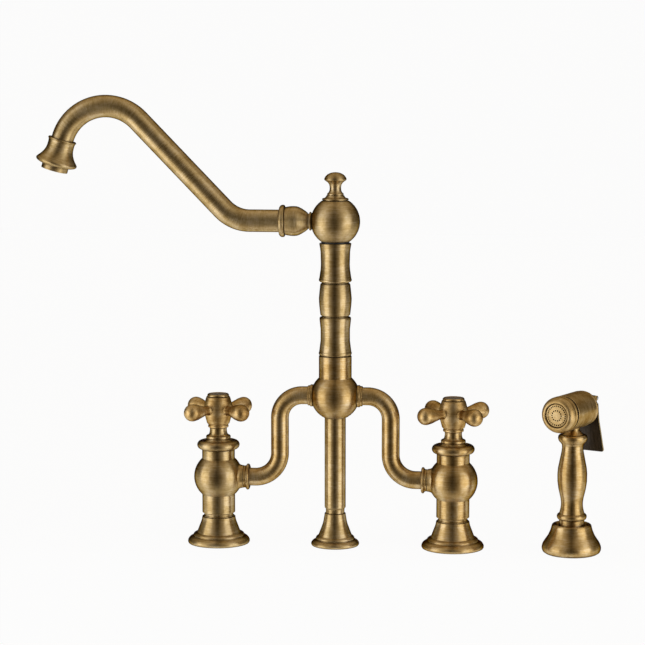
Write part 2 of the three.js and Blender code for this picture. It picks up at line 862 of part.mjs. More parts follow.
function sprayHandle() {
  const z = holderHeight;
  return turned([
    [gripBore, coneFoot[1] - 2],
    [coneFoot[0], coneFoot[1] - 2],
    coneFoot,
    coneTop,
    [10.7, z + 4.6],
    [12.55, z + 8.7],
    [10.4, z + 10.1],
    [9.4, z + 14.5],
    [9.3, z + 19],
    ...flare(gripOutline, 0, sprayBulge, 0, gripTop),
    [11.4, gripTop - 5.4],
    [12.5, gripTop - 2.5],
    [11.2, gripTop],
    [neckSpigot + fit, gripTop],
    [neckSpigot + fit, gripTop - 8],
    [gripBore, gripTop - 8],
  ]);
}

// Pieces of the head are turned along its axis, which points to the front.
function onHead(body) {
  return body.rotate([90, 0, 0]).translate([0, 0, headZ]);
}

function sprayHead() {
  const barrel = onHead(turned([
    [0, -headRear],
    [14.2, -headRear],
    [15.2, -headRear + 2.4],
    [headRadius, 0],
    [15.3, headFront - 3],
    [14.2, headFront - 2],
    [14.2, headFront],
    [0, headFront],
  ]));
  const neckFoot = gripTop + fit;
  const neck = turned([
    [0, neckFoot - 7.8], [neckSpigot, neckFoot - 7.8], [neckSpigot, neckFoot], [9.6, neckFoot],
    [7.4, neckFoot + 1.8], [6, neckFoot + 4.6], [7, neckFoot + 7.6], [0, neckFoot + 10],
  ]);
  const inside = onHead(turned([
    [0, -headRear - 1], [10, -headRear - 1], [10, -6], [3.5, -6], [3.5, 4], [12.6, 4],
    [12.6, headFront + 1], [0, headFront + 1],
  ]));
  const supply = rod(3.4, neckFoot - 9, headZ, 8);
  return barrel.add(neck).subtract(inside).subtract(supply);
}

function frontRing() {
  const s = headFront + fit;
  const seat = faceRadius + fit;
  return onHead(turned([
    [11, headFront - 6], [12.1, headFront - 6], [12.1, s], [14.8, s], [headRadius, s + 1.8],
    [15.3, s + 5],
    [14.2, s + 8],
    [12.2, s + 10.3],
    [10.9, s + 10.8],
    [seat, s + 10.2],
    [seat, s + 7.6],
    [faceRadius - 1, s + 7.6],
    [faceRadius - 1, s + 5],
  ]));
}

function facePlate() {
  const s = headFront + fit + 7.6 + fit;
  const blank = turned([[0, s], [faceRadius, s], [faceRadius, s + 1.7], [6, s + 2.2], [0, s + 2.3]]);
  const hole = rod(0.6, s - 1, s + 4, 4);
  const drilled = Array.from({ length: 10 }, (_, i) => {
    const a = rad(36 * i);
    return hole.translate([8.2 * Math.cos(a), 8.2 * Math.sin(a), 0]);
  });
  return onHead(drilled.reduce((piece, cut) => piece.subtract(cut), blank));
}

function rearCap() {
  const s = -headRear - fit;
  const cap = turned([
    [0, s - 7.9], [6, s - 7.5], [11.5, s - 5.8], [14.4, s - 3.4], [15.2, s - 1.3], [13.8, s],
    [9.4, s],
    [9.4, s + 3.6],
    [0, s + 3.6],
  ]);
  const bore = turned([
    [0, s - 9], [2.1, s - 9], [2.1, s - 2.2], [6, s - 2.2], [6, s + 5], [0, s + 5],
  ], 10);
  const ear = rod(2.9, 7.5, 9.6, 8).rotate([0, 90, 0]).translate([0, pinBack, pinRise]);
  const web = block(2.1, 8, -2.9, 2.9).translate([8.55, pinBack - 4, pinRise]);
  const lug = ear.add(web).rotate([-90, 0, 0]);
  const hole = rod(pinRadius + fit, -12, 12, 8)
    .rotate([0, 90, 0])
    .translate([0, pinBack, pinRise]);
  const both = lug.add(lug.mirror([1, 0, 0]));
  return onHead(cap.add(both).subtract(bore).subtract(hole.rotate([-90, 0, 0])));
}

function leverPin() {
  const half = 10.2;
  return rod(pinRadius, -half, half, 8).rotate([0, 90, 0]).translate([0, pinBack, pinZ]);
}

// Side view of the lever as [behind the handle axis, below the pin].
const leverLine = [
  [pinBack, 0], [pinBack - 0.3, pinRise], [pinBack - 0.7, 20.4], [pinBack + 0.6, leverDrop * 0.6],
  [pinBack + 2.2, leverDrop * 0.84], [pinBack + 3.6, leverDrop],
];
const shankWidth = 14.2;
const paddleTop = 21;
const paddleWidths = [24, 29];

function lever() {
  const half = leverThickness / 2;
  const inner = leverLine.map(([y, z]) => new THREE.Vector2(y - half, -z));
  const outer = leverLine.map(([y, z]) => new THREE.Vector2(y + half, -z));
  const side = plate(new THREE.Shape([...inner, ...outer.reverse()]), 40)
    .translate([0, 0, -20])
    .rotate([90, 0, 90]);
  const [top, bottom] = paddleWidths.map((w) => w / 2);
  const s = shankWidth / 2;
  const corners = [
    [-s, 4], [-s, -paddleTop + 2.5], [-s - 1.2, -paddleTop + 0.8], [-top + 1, -paddleTop],
    [-top, -paddleTop - 1], [-bottom, -leverDrop + 1.2], [-bottom + 1.2, -leverDrop],
  ];
  const right = corners.map(([x, z]) => [-x, z]).reverse();
  const front = plate(new THREE.Shape([...corners, ...right].map(([x, z]) => new THREE.Vector2(x, z))), 60)
    .rotate([90, 0, 0])
    .translate([0, 60, 0]);
  const knuckle = rod(2.7, -s, s, 10).rotate([0, 90, 0]).translate([0, pinBack, 0]);
  const hole = rod(pinRadius + fit, -12, 12, 8).rotate([0, 90, 0]).translate([0, pinBack, 0]);
  const pad = rod(1.5, -pinBack, leverPad - pinBack, 8).rotate([90, 0, 0]).translate([0, 0, -pinRise]);
  return side.intersect(front).add(knuckle).add(pad).subtract(hole).translate([0, 0, pinZ]);
}

const springSeat = -6;
const springTurns = 3.5;
const plungerCollar = -headRear + 1.2;

function plunger() {
  const tail = -(pinBack - leverPad - fit);
  return onHead(turned([
    [0, tail], [1.8, tail], [1.8, plungerCollar - 1.3], [5, plungerCollar - 1.3],
    [5, plungerCollar], [1.8, plungerCollar], [1.8, 4 + fit], [5, 4 + fit], [5, 6.3], [0, 7.1],
  ], 10));
}

class Helix extends THREE.Curve {
  getPoint(t, target = new THREE.Vector3()) {
    const a = 2 * Math.PI * springTurns * t;
    const from = plungerCollar + fit + wireRadius;
    const to = springSeat - plungerTravel - fit - wireRadius;
    return target.set(3.5 * Math.cos(a), 3.5 * Math.sin(a), from + (to - from) * t);
  }
}

function plungerSpring() {
  const section = new THREE.Shape(circle(wireRadius, 4));
  return onHead(solid(new THREE.ExtrudeGeometry(section, { steps: 24, extrudePath: new Helix() })));
}

// ---------------------------------------------------------------- assembly

const group = new THREE.Group();
group.add(valve("hot", -valveSpread, 0));
group.add(valve("cold", valveSpread, 180));

add(group, "hub", hub(), "brass");
add(group, "left_hub_collar", hubCollar(180), "brass");
add(group, "right_hub_collar", hubCollar(0), "brass");
add(group, "leg", leg(), "brass");
add(group, "leg_foot", foot(legFootOutline, legFootRim, legFootRadius, legFootHeight, legTail), "brass");
add(group, "leg_gasket", gasket(legFootRadius, legTail), "rubber");
add(group, "check_valve", checkValve(), "plastic");
add(group, "diverter_poppet", poppet(), "plastic");
add(group, "riser", riser(), "innerBrass");
add(group, "lower_sleeve", sleeve(lowerSleeveOutline, lowerSleeveFoot, lowerSleeveLength), "brass");
add(group, "barrel_sleeve", sleeve(barrelSleeveOutline, barrelFoot, barrelSleeveLength), "brass");
add(group, "upper_sleeve", sleeve(upperSleeveOutline, upperSleeveFoot, upperSleeveLength), "brass");
add(group, "swivel_washer", swivelWasher(), "plastic");

add(group, "spout_ball", spoutBall(), "brass");
add(group, "spout_set_screw", spoutSetScrew(), "steel");
add(group, "finial", finial(), "brass");
add(group, "spout_union", spoutUnion(), "brass");
add(group, "spout_ring", spoutRing(), "brass");
add(group, "spout_tube", pipe(spoutPath, spoutTubeR, spoutWall, 12), "brass");
add(group, "nozzle", nozzle(), "brass");
add(group, "aerator_ring", aeratorRing(), "brass");
add(group, "aerator_insert", aeratorInsert(), "plastic");

const handset = new THREE.Group();
add(handset, "spray_holder", holder(), "brass");
add(handset, "holder_liner", holderLiner(), "plastic");
add(handset, "spray_coupling", sprayCoupling(), "innerBrass");
add(handset, "spray_handle", sprayHandle(), "brass");
add(handset, "spray_head", sprayHead(), "brass");
add(handset, "spray_front_ring", frontRing(), "brass");
add(handset, "spray_face", facePlate(), "brass");
add(handset, "spray_rear_cap", rearCap(), "brass");
add(handset, "spray_lever", lever(), "darkMetal");
add(handset, "lever_pin", leverPin(), "steel");
add(handset, "spray_plunger", plunger(), "steel");
add(handset, "plunger_spring", plungerSpring(), "steel");
handset.position.set(sprayX, sprayY, 0);
handset.rotation.z = rad(sprayTurn);
group.add(handset);

export default group;
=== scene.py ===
import bpy
import json
from math import atan2, cos, hypot, pi, radians, sin
from mathutils import Matrix, Vector


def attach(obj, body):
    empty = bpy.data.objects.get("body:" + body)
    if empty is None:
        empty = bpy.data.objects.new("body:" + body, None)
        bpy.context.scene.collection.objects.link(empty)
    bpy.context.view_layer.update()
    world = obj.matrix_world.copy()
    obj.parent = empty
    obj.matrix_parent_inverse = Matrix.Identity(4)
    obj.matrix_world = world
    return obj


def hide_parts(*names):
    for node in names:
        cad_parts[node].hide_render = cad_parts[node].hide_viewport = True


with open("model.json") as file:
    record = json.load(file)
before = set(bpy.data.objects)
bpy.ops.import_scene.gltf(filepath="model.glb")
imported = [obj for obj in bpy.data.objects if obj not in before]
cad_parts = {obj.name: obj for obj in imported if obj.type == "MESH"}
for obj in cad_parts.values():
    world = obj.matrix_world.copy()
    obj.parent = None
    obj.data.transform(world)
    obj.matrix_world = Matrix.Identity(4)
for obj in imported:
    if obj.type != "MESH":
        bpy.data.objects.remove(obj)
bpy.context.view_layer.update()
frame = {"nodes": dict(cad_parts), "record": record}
mm = 0.001
print("frame loaded,", len(frame["nodes"]), "nodes")

# places on the faucet, mm
places = {
    "valveX": 101.6,
    "valveZ": 58.3,  # side ports
    "armZ": 117.0,
    "clock": 5.0,  # degrees the cross handles stand off the diagonal
    "hubZ": 130.4,
    "crossX": 47.9,  # upright run of a bridge tube
    "spoutZ": 280.4,
    "sprayX": 203.2,
    "sprayY": -8.0,
    "sprayTurn": -26.5,  # degrees
    "headZ": 122.4,
    "pinRise": 8.0,  # lever pin above the head's axis
    "pinBack": 26.8,  # lever pin behind the handle's axis
}

cameraSet = {
    "at": (0.2045, -1.9501, 0.4439),  # metres
    "down": 7.27,  # degrees below level
    "left": 6.306,  # degrees off the straight view
    "lens": 129.06,  # mm
    "sensor": 36,  # mm
}


def addCamera():
    bpy.ops.object.camera_add(
        location=cameraSet["at"],
        rotation=(radians(90 - cameraSet["down"]), 0, radians(cameraSet["left"])),
    )
    camera = bpy.context.object
    camera.name = "photoCamera"
    camera.data.lens = cameraSet["lens"]
    camera.data.sensor_width = cameraSet["sensor"]
    bpy.context.scene.camera = camera


addCamera()
print("camera placed")

# how the outlines of turned pieces are drawn, mm
outlineSet = {
    "curveSteps": 8,  # between two points of a curve
    "curveTurn": 6.5,  # degrees between rings
    "ballTurn": 5,  # degrees between points of a ball
    "softTurn": 14,  # degrees, and a corner that turns less stays as it is
    "cutShare": 0.4,  # most of a stroke that a rounding takes
    "guard": 2.5,  # a ring this many roundings away keeps long strokes flat
    "longStroke": 6,  # in roundings
    "same": 1e-4,  # points nearer than this are one
    "weld": 1e-3,
    "smoothBelow": 38,  # degrees between faces
}


def throughPoints(points):
    # a smooth curve through the points, knots spaced by the root of their distance
    steps = outlineSet["curveSteps"]
    ends = [2 * points[0] - points[1], *points, 2 * points[-1] - points[-2]]
    curve = [points[0]]
    for a, b, c, d in zip(ends, ends[1:], ends[2:], ends[3:]):
        k1 = (b - a).length ** 0.5
        k2 = k1 + (c - b).length ** 0.5
        k3 = k2 + (d - c).length ** 0.5
        for i in range(1, steps + 1):
            k = k1 + (k2 - k1) * i / steps
            e = a.lerp(b, k / k1)
            f = b.lerp(c, (k - k1) / (k2 - k1))
            g = c.lerp(d, (k - k2) / (k3 - k2))
            h = e.lerp(f, k / k2)
            j = f.lerp(g, (k - k1) / (k3 - k1))
            curve.append(h.lerp(j, (k - k1) / (k2 - k1)))
    return curve


def thinned(curve, turn=outlineSet["curveTurn"]):
    # one ring for every few degrees that the curve turns
    kept = [curve[0]]
    turned = 0.0
    for before, here, after in zip(curve, curve[1:], curve[2:]):
        turned += abs((here - before).angle_signed(after - here, 0.0))
        if turned >= radians(turn):
            kept.append(here)
            turned = 0.0
    return kept + [curve[-1]]


def ballArc(radius, centre, start, end, offset=0.0):
    # points of a ball's outline, angles in degrees above the level
    count = max(2, round(abs(end - start) / outlineSet["ballTurn"]))
    points = []
    for i in range(count + 1):
        angle = radians(start + (end - start) * i / count)
        points.append((offset + radius * cos(angle), centre + radius * sin(angle)))
    return points


def strokesOf(profile):
    # a pair is a straight run to it, a list is a curve through its points
    strokes = []
    at = Vector(profile[0])
    for step in profile[1:]:
        if isinstance(step, list):
            points = [Vector(p) for p in step]
            if (points[0] - at).length > outlineSet["same"]:
                points.insert(0, at)
            strokes.append(thinned(throughPoints(points)))
        else:
            strokes.append([at, Vector(step)])
        at = strokes[-1][-1]
    if profile[0][0] > 0 and (at - strokes[0][0]).length > outlineSet["same"]:
        strokes.append([at, strokes[0][0]])
    return strokes


def softOutline(profile, edge):
    # the outline with every corner rounded by about the edge
    strokes = strokesOf(profile)
    closed = profile[0][0] > 0
    guard, longStroke, share = outlineSet["guard"], outlineSet["longStroke"], outlineSet["cutShare"]
    outline = []
    for i, stroke in enumerate(strokes):
        following = strokes[(i + 1) % len(strokes)]
        if not outline:
            outline.append(stroke[0])
        outline += stroke[1:-1]
        corner = stroke[-1]
        back = stroke[-2] - corner
        ahead = following[1] - corner
        last = i == len(strokes) - 1 and not closed
        if last or abs(pi - back.angle(ahead)) < radians(outlineSet["softTurn"]):
            outline.append(corner)
            continue
        cut = min(edge, share * back.length, share * ahead.length)
        start = corner + back.normalized() * cut
        end = corner + ahead.normalized() * cut
        if back.length > longStroke * cut:
            outline.append(corner + back.normalized() * guard * cut)
        outline.append(start)
        # two points of the curve that the corner pulls in, at its thirds
        outline.append((4 * start + 4 * corner + end) / 9)
        outline.append((start + 4 * corner + 4 * end) / 9)
        outline.append(end)
        if ahead.length > longStroke * cut:
            outline.append(corner + ahead.normalized() * guard * cut)
    if closed:
        outline[0] = outline[-1].copy()
    return outline


def pickOnly(*pieces):
    bpy.ops.object.select_all(action="DESELECT")
    for piece in pieces:
        piece.select_set(True)
    bpy.context.view_layer.objects.active = pieces[0]


def setPlace(piece, at=(0, 0, 0), tilt=(0, 0, 0)):
    pickOnly(piece)
    piece.rotation_euler = [radians(a) for a in tilt]
    piece.location = [v * mm for v in at]
    bpy.ops.object.transform_apply(location=True, rotation=True, scale=True)


def chainOf(name, points):
    # a chain of edges through the points, drawn out vertex by vertex
    bpy.ops.object.select_all(action="DESELECT")
    bpy.ops.mesh.primitive_plane_add(size=mm)
    piece = bpy.context.object
    piece.name = name
    bpy.ops.object.mode_set(mode="EDIT")
    bpy.ops.mesh.select_all(action="SELECT")
    bpy.ops.mesh.merge(type="CENTER")
    bpy.ops.transform.translate(value=points[0])
    for before, here in zip(points, points[1:]):
        if (here - before).length > outlineSet["same"] * mm:
            bpy.ops.mesh.extrude_vertices_move(TRANSFORM_OT_translate={"value": here - before})
    bpy.ops.mesh.select_all(action="SELECT")
    return piece


def turnedPiece(name, profile, at=(0, 0, 0), tilt=(0, 0, 0), edge=0.25, sides=64):
    piece = chainOf(name, [Vector((p.x * mm, 0, p.y * mm)) for p in softOutline(profile, edge)])
    bpy.ops.mesh.spin(steps=sides, angle=2 * pi, center=(0, 0, 0), axis=(0, 0, 1))
    bpy.ops.mesh.select_all(action="SELECT")
    bpy.ops.mesh.remove_doubles(threshold=outlineSet["weld"] * mm)
    bpy.ops.mesh.normals_make_consistent(inside=False)
    bpy.ops.object.mode_set(mode="OBJECT")
    setPlace(piece, at, tilt)
    return piece


def applyAll(piece):
    pickOnly(piece)
    for modifier in list(piece.modifiers):
        bpy.ops.object.modifier_apply(modifier=modifier.name)


def combine(piece, tool, operation="UNION"):
    modifier = piece.modifiers.new("cutter", "BOOLEAN")
    modifier.operation = operation
    modifier.solver = "EXACT"
    modifier.material_mode = "TRANSFER"
    modifier.object = tool
    applyAll(piece)
    bpy.data.objects.remove(tool)


def copyOf(piece, name):
    twin = piece.copy()
    twin.data = piece.data.copy()
    twin.name = name
    bpy.context.collection.objects.link(twin)
    return twin


def finishPiece(piece, body, nodes, materials):
    # the finished piece: smooth shading, finish, body and the nodes it stands for
    if materials:
        piece.data.materials.clear()
        for material in materials:
            piece.data.materials.append(material)
    pickOnly(piece)
    bpy.ops.object.shade_smooth_by_angle(angle=radians(outlineSet["smoothBelow"]))
    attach(piece, body)
    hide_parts(*nodes)


def newMaterial(name):
    material = bpy.data.materials.new(name)
    material.use_nodes = True
    tree = material.node_tree
    tree.nodes.clear()
    output = tree.nodes.new("ShaderNodeOutputMaterial")
    shader = tree.nodes.new("ShaderNodeBsdfPrincipled")
    tree.links.new(shader.outputs["BSDF"], output.inputs["Surface"])
    return material, tree, shader


def addNode(tree, kind, inputs=None, **settings):
    # a node with its settings, and its sockets set or linked
    node = tree.nodes.new("ShaderNode" + kind)
    for key, value in settings.items():
        setattr(node, key, value)
    for key, value in (inputs or {}).items():
        socket = node.inputs[key]
        if isinstance(value, bpy.types.NodeSocket):
            tree.links.new(value, socket)
        else:
            socket.default_value = value
    return node


def mathNode(tree, operation, a, b=0.0, c=0.0):
    return addNode(tree, "Math", {0: a, 1: b, 2: c}, operation=operation).outputs[0]


def vectorNode(tree, operation, a, b=(0, 0, 0)):
    return addNode(tree, "VectorMath", {0: a, 1: b}, operation=operation)


def mixColour(tree, share, a, b):
    node = addNode(tree, "Mix", data_type="RGBA", clamp_factor=True)
    for key, value in {"Factor_Float": share, "A_Color": a, "B_Color": b}.items():
        socket = next(s for s in node.inputs if s.identifier == key)
        if isinstance(value, bpy.types.NodeSocket):
            tree.links.new(value, socket)
        else:
            socket.default_value = value
    return next(s for s in node.outputs if s.identifier == "Result_Color")


def between(tree, value, low, high, toLow=0.0, toHigh=1.0):
    node = addNode(
        tree,
        "MapRange",
        {"Value": value, "From Min": low, "From Max": high, "To Min": toLow, "To Max": toHigh},
        clamp=True,
    )
    return node.outputs["Result"]


brassLook = {
    "dark": (0.34, 0.225, 0.082, 1),
    "middle": (0.53, 0.385, 0.18, 1),
    "light": (0.73, 0.58, 0.365, 1),
    # the colour of the dirt and painted shade in the recesses
    "recess": (0.055, 0.032, 0.018, 1),
    "worn": (0.80, 0.64, 0.38, 1),
    "grazing": (0.03, 0.02, 0.014, 1),  # dulled where the surface turns away
    "toneStops": (0.12, 0.5, 0.9),
    "roughness": 0.32,
    "streakRoughness": 0.08,
    "shadeDirtRoughness": 0.22,
    "anisotropy": 0.88,
    "lineWidth": 0.4,  # mm across the brush lines
    "lineReach": 1.6,  # their change once round
    "lineRange": (0.34, 0.66),
    "cloudScale": 95.0,
    "cloudRange": (0.36, 0.64),
    "cloudShare": 0.3,  # of the tone
    "grainScale": 420.0,
    "grainRange": (0.35, 0.65),
    "grainShare": 0.15,
    "recessReach": 3.0,  # mm
    "recessRange": (0.36, 0.80),
    "shadeDirtPatches": (0.2, 0.6, 0.65, 1.0),  # by the clouds
    "shadeDirtShare": 0.85,
    "edgeRange": (0.515, 0.60),
    "rubPatches": (0.3, 0.6, 0.4, 0.9),  # by the grain
    "rubShare": 0.55,
    "bump": 0.08,
    "bumpDepth": 0.05,  # mm
}

# the right valve, the bridge with its hub, and the spray are redder
warmLook = {**brassLook, "dark": (0.34, 0.20, 0.06, 1), "middle": (0.55, 0.375, 0.155, 1)}
# the cross handles are cast, so they are clouded and hardly brushed
castLook = {
    **brassLook,
    "dark": (0.34, 0.19, 0.055, 1),
    "middle": (0.60, 0.40, 0.16, 1),
    "light": (0.84, 0.64, 0.36, 1),
    "roughness": 0.38,
    "anisotropy": 0.2,
    "cloudShare": 0.5,
    "lineWidth": 0.7,
    "bump": 0.14,
    "recessReach": 2.4,
}
# the spout's ball, finial and nozzle
softLook = {**brassLook, "roughness": 0.38, "anisotropy": 0.75}
headLook = {**warmLook, "light": (0.80, 0.61, 0.35, 1), "roughness": 0.4, "anisotropy": 0.45}
tubeGloss = {"roughness": 0.33, "anisotropy": 0.6, "lineWidth": 0.3, "bump": 0.04}
# a foot meets the deck, which would darken it, so the dirt and painted shade reach less far there
footShadeDirtReach = {"recessReach": 1.5}


def brushedBrass(name, at=(0, 0, 0), tilt=(0, 0, 0), tube=None, look=brassLook):
    # brass brushed round an axis, or round a tube by the tube's own map
    material, tree, shader = newMaterial(name)
    objectAt = addNode(tree, "TexCoord").outputs["Object"]
    turn = [radians(a) for a in tilt]
    frequency = 1 / (look["lineWidth"] * mm)
    if tube:
        lay = addNode(tree, "UVMap", uv_map=tube).outputs[0]
        apart = addNode(tree, "SeparateXYZ", {0: lay})
        angle = mathNode(tree, "MULTIPLY", apart.outputs["X"], 2 * pi)
        east = mathNode(tree, "COSINE", angle)
        north = mathNode(tree, "SINE", angle)
        across = mathNode(tree, "MULTIPLY", apart.outputs["Y"], frequency)
        reach = 0.0
        around = addNode(tree, "Tangent", direction_type="UV_MAP", uv_map=tube).outputs[0]
    else:
        local = addNode(
            tree,
            "Mapping",
            {"Vector": objectAt, "Location": [v * mm for v in at], "Rotation": turn},
            vector_type="TEXTURE",
        ).outputs[0]
        apart = addNode(tree, "SeparateXYZ", {0: local})
        outwards = {"X": apart.outputs["X"], "Y": apart.outputs["Y"]}
        flat = addNode(tree, "CombineXYZ", outwards).outputs[0]
        unit = addNode(tree, "SeparateXYZ", {0: vectorNode(tree, "NORMALIZE", flat).outputs[0]})
        east, north = unit.outputs["X"], unit.outputs["Y"]
        across = mathNode(tree, "MULTIPLY", apart.outputs["Z"], frequency)
        radius = vectorNode(tree, "LENGTH", flat).outputs["Value"]
        reach = mathNode(tree, "MULTIPLY", radius, frequency)
        west = mathNode(tree, "MULTIPLY", north, -1.0)
        circling = addNode(tree, "CombineXYZ", {"X": west, "Y": east}).outputs[0]
        tilted = addNode(
            tree, "Mapping", {"Vector": circling, "Rotation": turn}, vector_type="VECTOR"
        ).outputs[0]
        around = addNode(
            tree,
            "VectorTransform",
            {"Vector": tilted},
            vector_type="VECTOR",
            convert_from="OBJECT",
            convert_to="WORLD",
        ).outputs[0]
    eastward = mathNode(tree, "MULTIPLY", east, look["lineReach"])
    northward = mathNode(tree, "MULTIPLY", north, look["lineReach"])
    lineAt = addNode(tree, "CombineXYZ", {"X": reach, "Y": across, "Z": eastward}).outputs[0]
    lines = addNode(
        tree,
        "TexNoise",
        {"Vector": lineAt, "W": northward, "Scale": 1.0, "Detail": 5.0, "Roughness": 0.7},
        noise_dimensions="4D",
    ).outputs[0]
    cloudInputs = {"Vector": objectAt, "Scale": look["cloudScale"], "Detail": 4.0}
    cloud = addNode(tree, "TexNoise", cloudInputs).outputs[0]
    grainInputs = {"Vector": objectAt, "Scale": look["grainScale"], "Detail": 3.0}
    grain = addNode(tree, "TexNoise", grainInputs).outputs[0]
    streak = between(tree, lines, *look["lineRange"])
    blotch = between(tree, cloud, *look["cloudRange"])
    speck = between(tree, grain, *look["grainRange"])
    streakShare = 1 - look["grainShare"] - look["cloudShare"]
    tone = mathNode(tree, "MULTIPLY", streak, streakShare)
    tone = mathNode(tree, "MULTIPLY_ADD", blotch, look["cloudShare"], tone)
    tone = mathNode(tree, "MULTIPLY_ADD", speck, look["grainShare"], tone)
    low, centre, high = look["toneStops"]
    ramp = addNode(tree, "ValToRGB", {"Fac": tone})
    ramp.color_ramp.elements[0].position = low
    ramp.color_ramp.elements[0].color = look["dark"]
    ramp.color_ramp.elements[1].position = high
    ramp.color_ramp.elements[1].color = look["light"]
    ramp.color_ramp.elements.new(centre).color = look["middle"]

    # dirt and painted shade in the recesses, darker where the AO node finds the surface hemmed in, in
    # cloudy patches; and bare metal where edges are rubbed
    reachOut = {"Distance": look["recessReach"] * mm}
    shade = addNode(tree, "AmbientOcclusion", reachOut, samples=6).outputs["AO"]
    shadedHollow = between(tree, shade, *look["recessRange"], 1.0, 0.0)
    dirtAndShade = mathNode(tree, "MULTIPLY", shadedHollow, between(tree, cloud, *look["shadeDirtPatches"]))
    pointed = addNode(tree, "NewGeometry").outputs["Pointiness"]
    edges = between(tree, pointed, *look["edgeRange"])
    rub = mathNode(tree, "MULTIPLY", edges, between(tree, grain, *look["rubPatches"]))
    shadeDirtied = mathNode(tree, "MULTIPLY", dirtAndShade, look["shadeDirtShare"])
    rubbed = mathNode(tree, "MULTIPLY", rub, look["rubShare"])
    # hemmed-in places are pulled towards the dark colour: partly dirt, partly painted shade
    agedAndShaded = mixColour(tree, shadeDirtied, ramp.outputs["Color"], look["recess"])
    tree.links.new(mixColour(tree, rubbed, agedAndShaded, look["worn"]), shader.inputs["Base Color"])

    least = look["roughness"] - look["streakRoughness"] / 2
    rough = mathNode(tree, "MULTIPLY_ADD", streak, look["streakRoughness"], least)
    rough = mathNode(tree, "MULTIPLY_ADD", dirtAndShade, look["shadeDirtRoughness"], rough)
    tree.links.new(rough, shader.inputs["Roughness"])
    lift = {"Height": lines, "Strength": look["bump"], "Distance": look["bumpDepth"] * mm}
    bump = addNode(tree, "Bump", lift).outputs[0]
    tree.links.new(bump, shader.inputs["Normal"])
    tree.links.new(around, shader.inputs["Tangent"])
    shader.inputs["Metallic"].default_value = 1.0
    shader.inputs["Anisotropic"].default_value = look["anisotropy"]
    shader.inputs["Anisotropic Rotation"].default_value = 0.25
    shader.inputs["Specular Tint"].default_value = look["grazing"]
    return material


plainSet = {"toneRange": (0.32, 0.68), "glossRange": (0.3, 0.7), "glossSpread": 0.07, "bumpDepth": 0.1}


def plainFinish(name, dark, light, roughness, metallic=0.0, scale=220.0, bump=0.06, stretch=(1, 1, 1)):
    # a plain material with fine variation in colour, gloss and surface
    material, tree, shader = newMaterial(name)
    objectAt = addNode(tree, "TexCoord").outputs["Object"]
    grainAt = addNode(tree, "Mapping", {"Vector": objectAt, "Scale": stretch}).outputs[0]
    grainInputs = {"Vector": grainAt, "Scale": scale, "Detail": 5.0, "Roughness": 0.65}
    grain = addNode(tree, "TexNoise", grainInputs).outputs[0]
    share = between(tree, grain, *plainSet["toneRange"])
    tree.links.new(mixColour(tree, share, dark, light), shader.inputs["Base Color"])
    spread = plainSet["glossSpread"]
    rough = between(tree, grain, *plainSet["glossRange"], roughness - spread, roughness + spread)
    tree.links.new(rough, shader.inputs["Roughness"])
    lift = {"Height": grain, "Strength": bump, "Distance": plainSet["bumpDepth"] * mm}
    tree.links.new(addNode(tree, "Bump", lift).outputs[0], shader.inputs["Normal"])
    shader.inputs["Metallic"].default_value = metallic
    return material


rubber = plainFinish("rubberBlack", (0.012, 0.012, 0.013, 1), (0.03, 0.03, 0.032, 1), 0.75)
blackPlastic = plainFinish("plasticBlack", (0.012, 0.012, 0.013, 1), (0.028, 0.028, 0.03, 1), 0.45)
steel = plainFinish(
    "steelTurned", (0.42, 0.42, 0.43, 1), (0.62, 0.62, 0.63, 1), 0.3, metallic=1.0, scale=380.0
)
ceramic = plainFinish(
    "ceramicWhite", (0.74, 0.73, 0.70, 1), (0.84, 0.83, 0.80, 1), 0.2, scale=90.0, bump=0.02
)
innerBrass = plainFinish(
    "brassMachined", (0.45, 0.33, 0.14, 1), (0.62, 0.47, 0.22, 1), 0.38, metallic=1.0, scale=300.0
)
capTop = plainFinish(
    "capDarkTop", (0.12, 0.085, 0.045, 1), (0.24, 0.175, 0.095, 1), 0.45, metallic=1.0, scale=260.0
)
# painted shade for the crevice behind the spray's front ring
grooveDark = plainFinish(
    "grooveDark", (0.010, 0.008, 0.006, 1), (0.028, 0.021, 0.015, 1), 0.6, metallic=0.3
)
leverFace = plainFinish(
    "leverBronze", (0.030, 0.024, 0.019, 1), (0.075, 0.062, 0.05, 1), 0.42,
    metallic=0.85, scale=60.0, bump=0.15, stretch=(14, 14, 1),
)

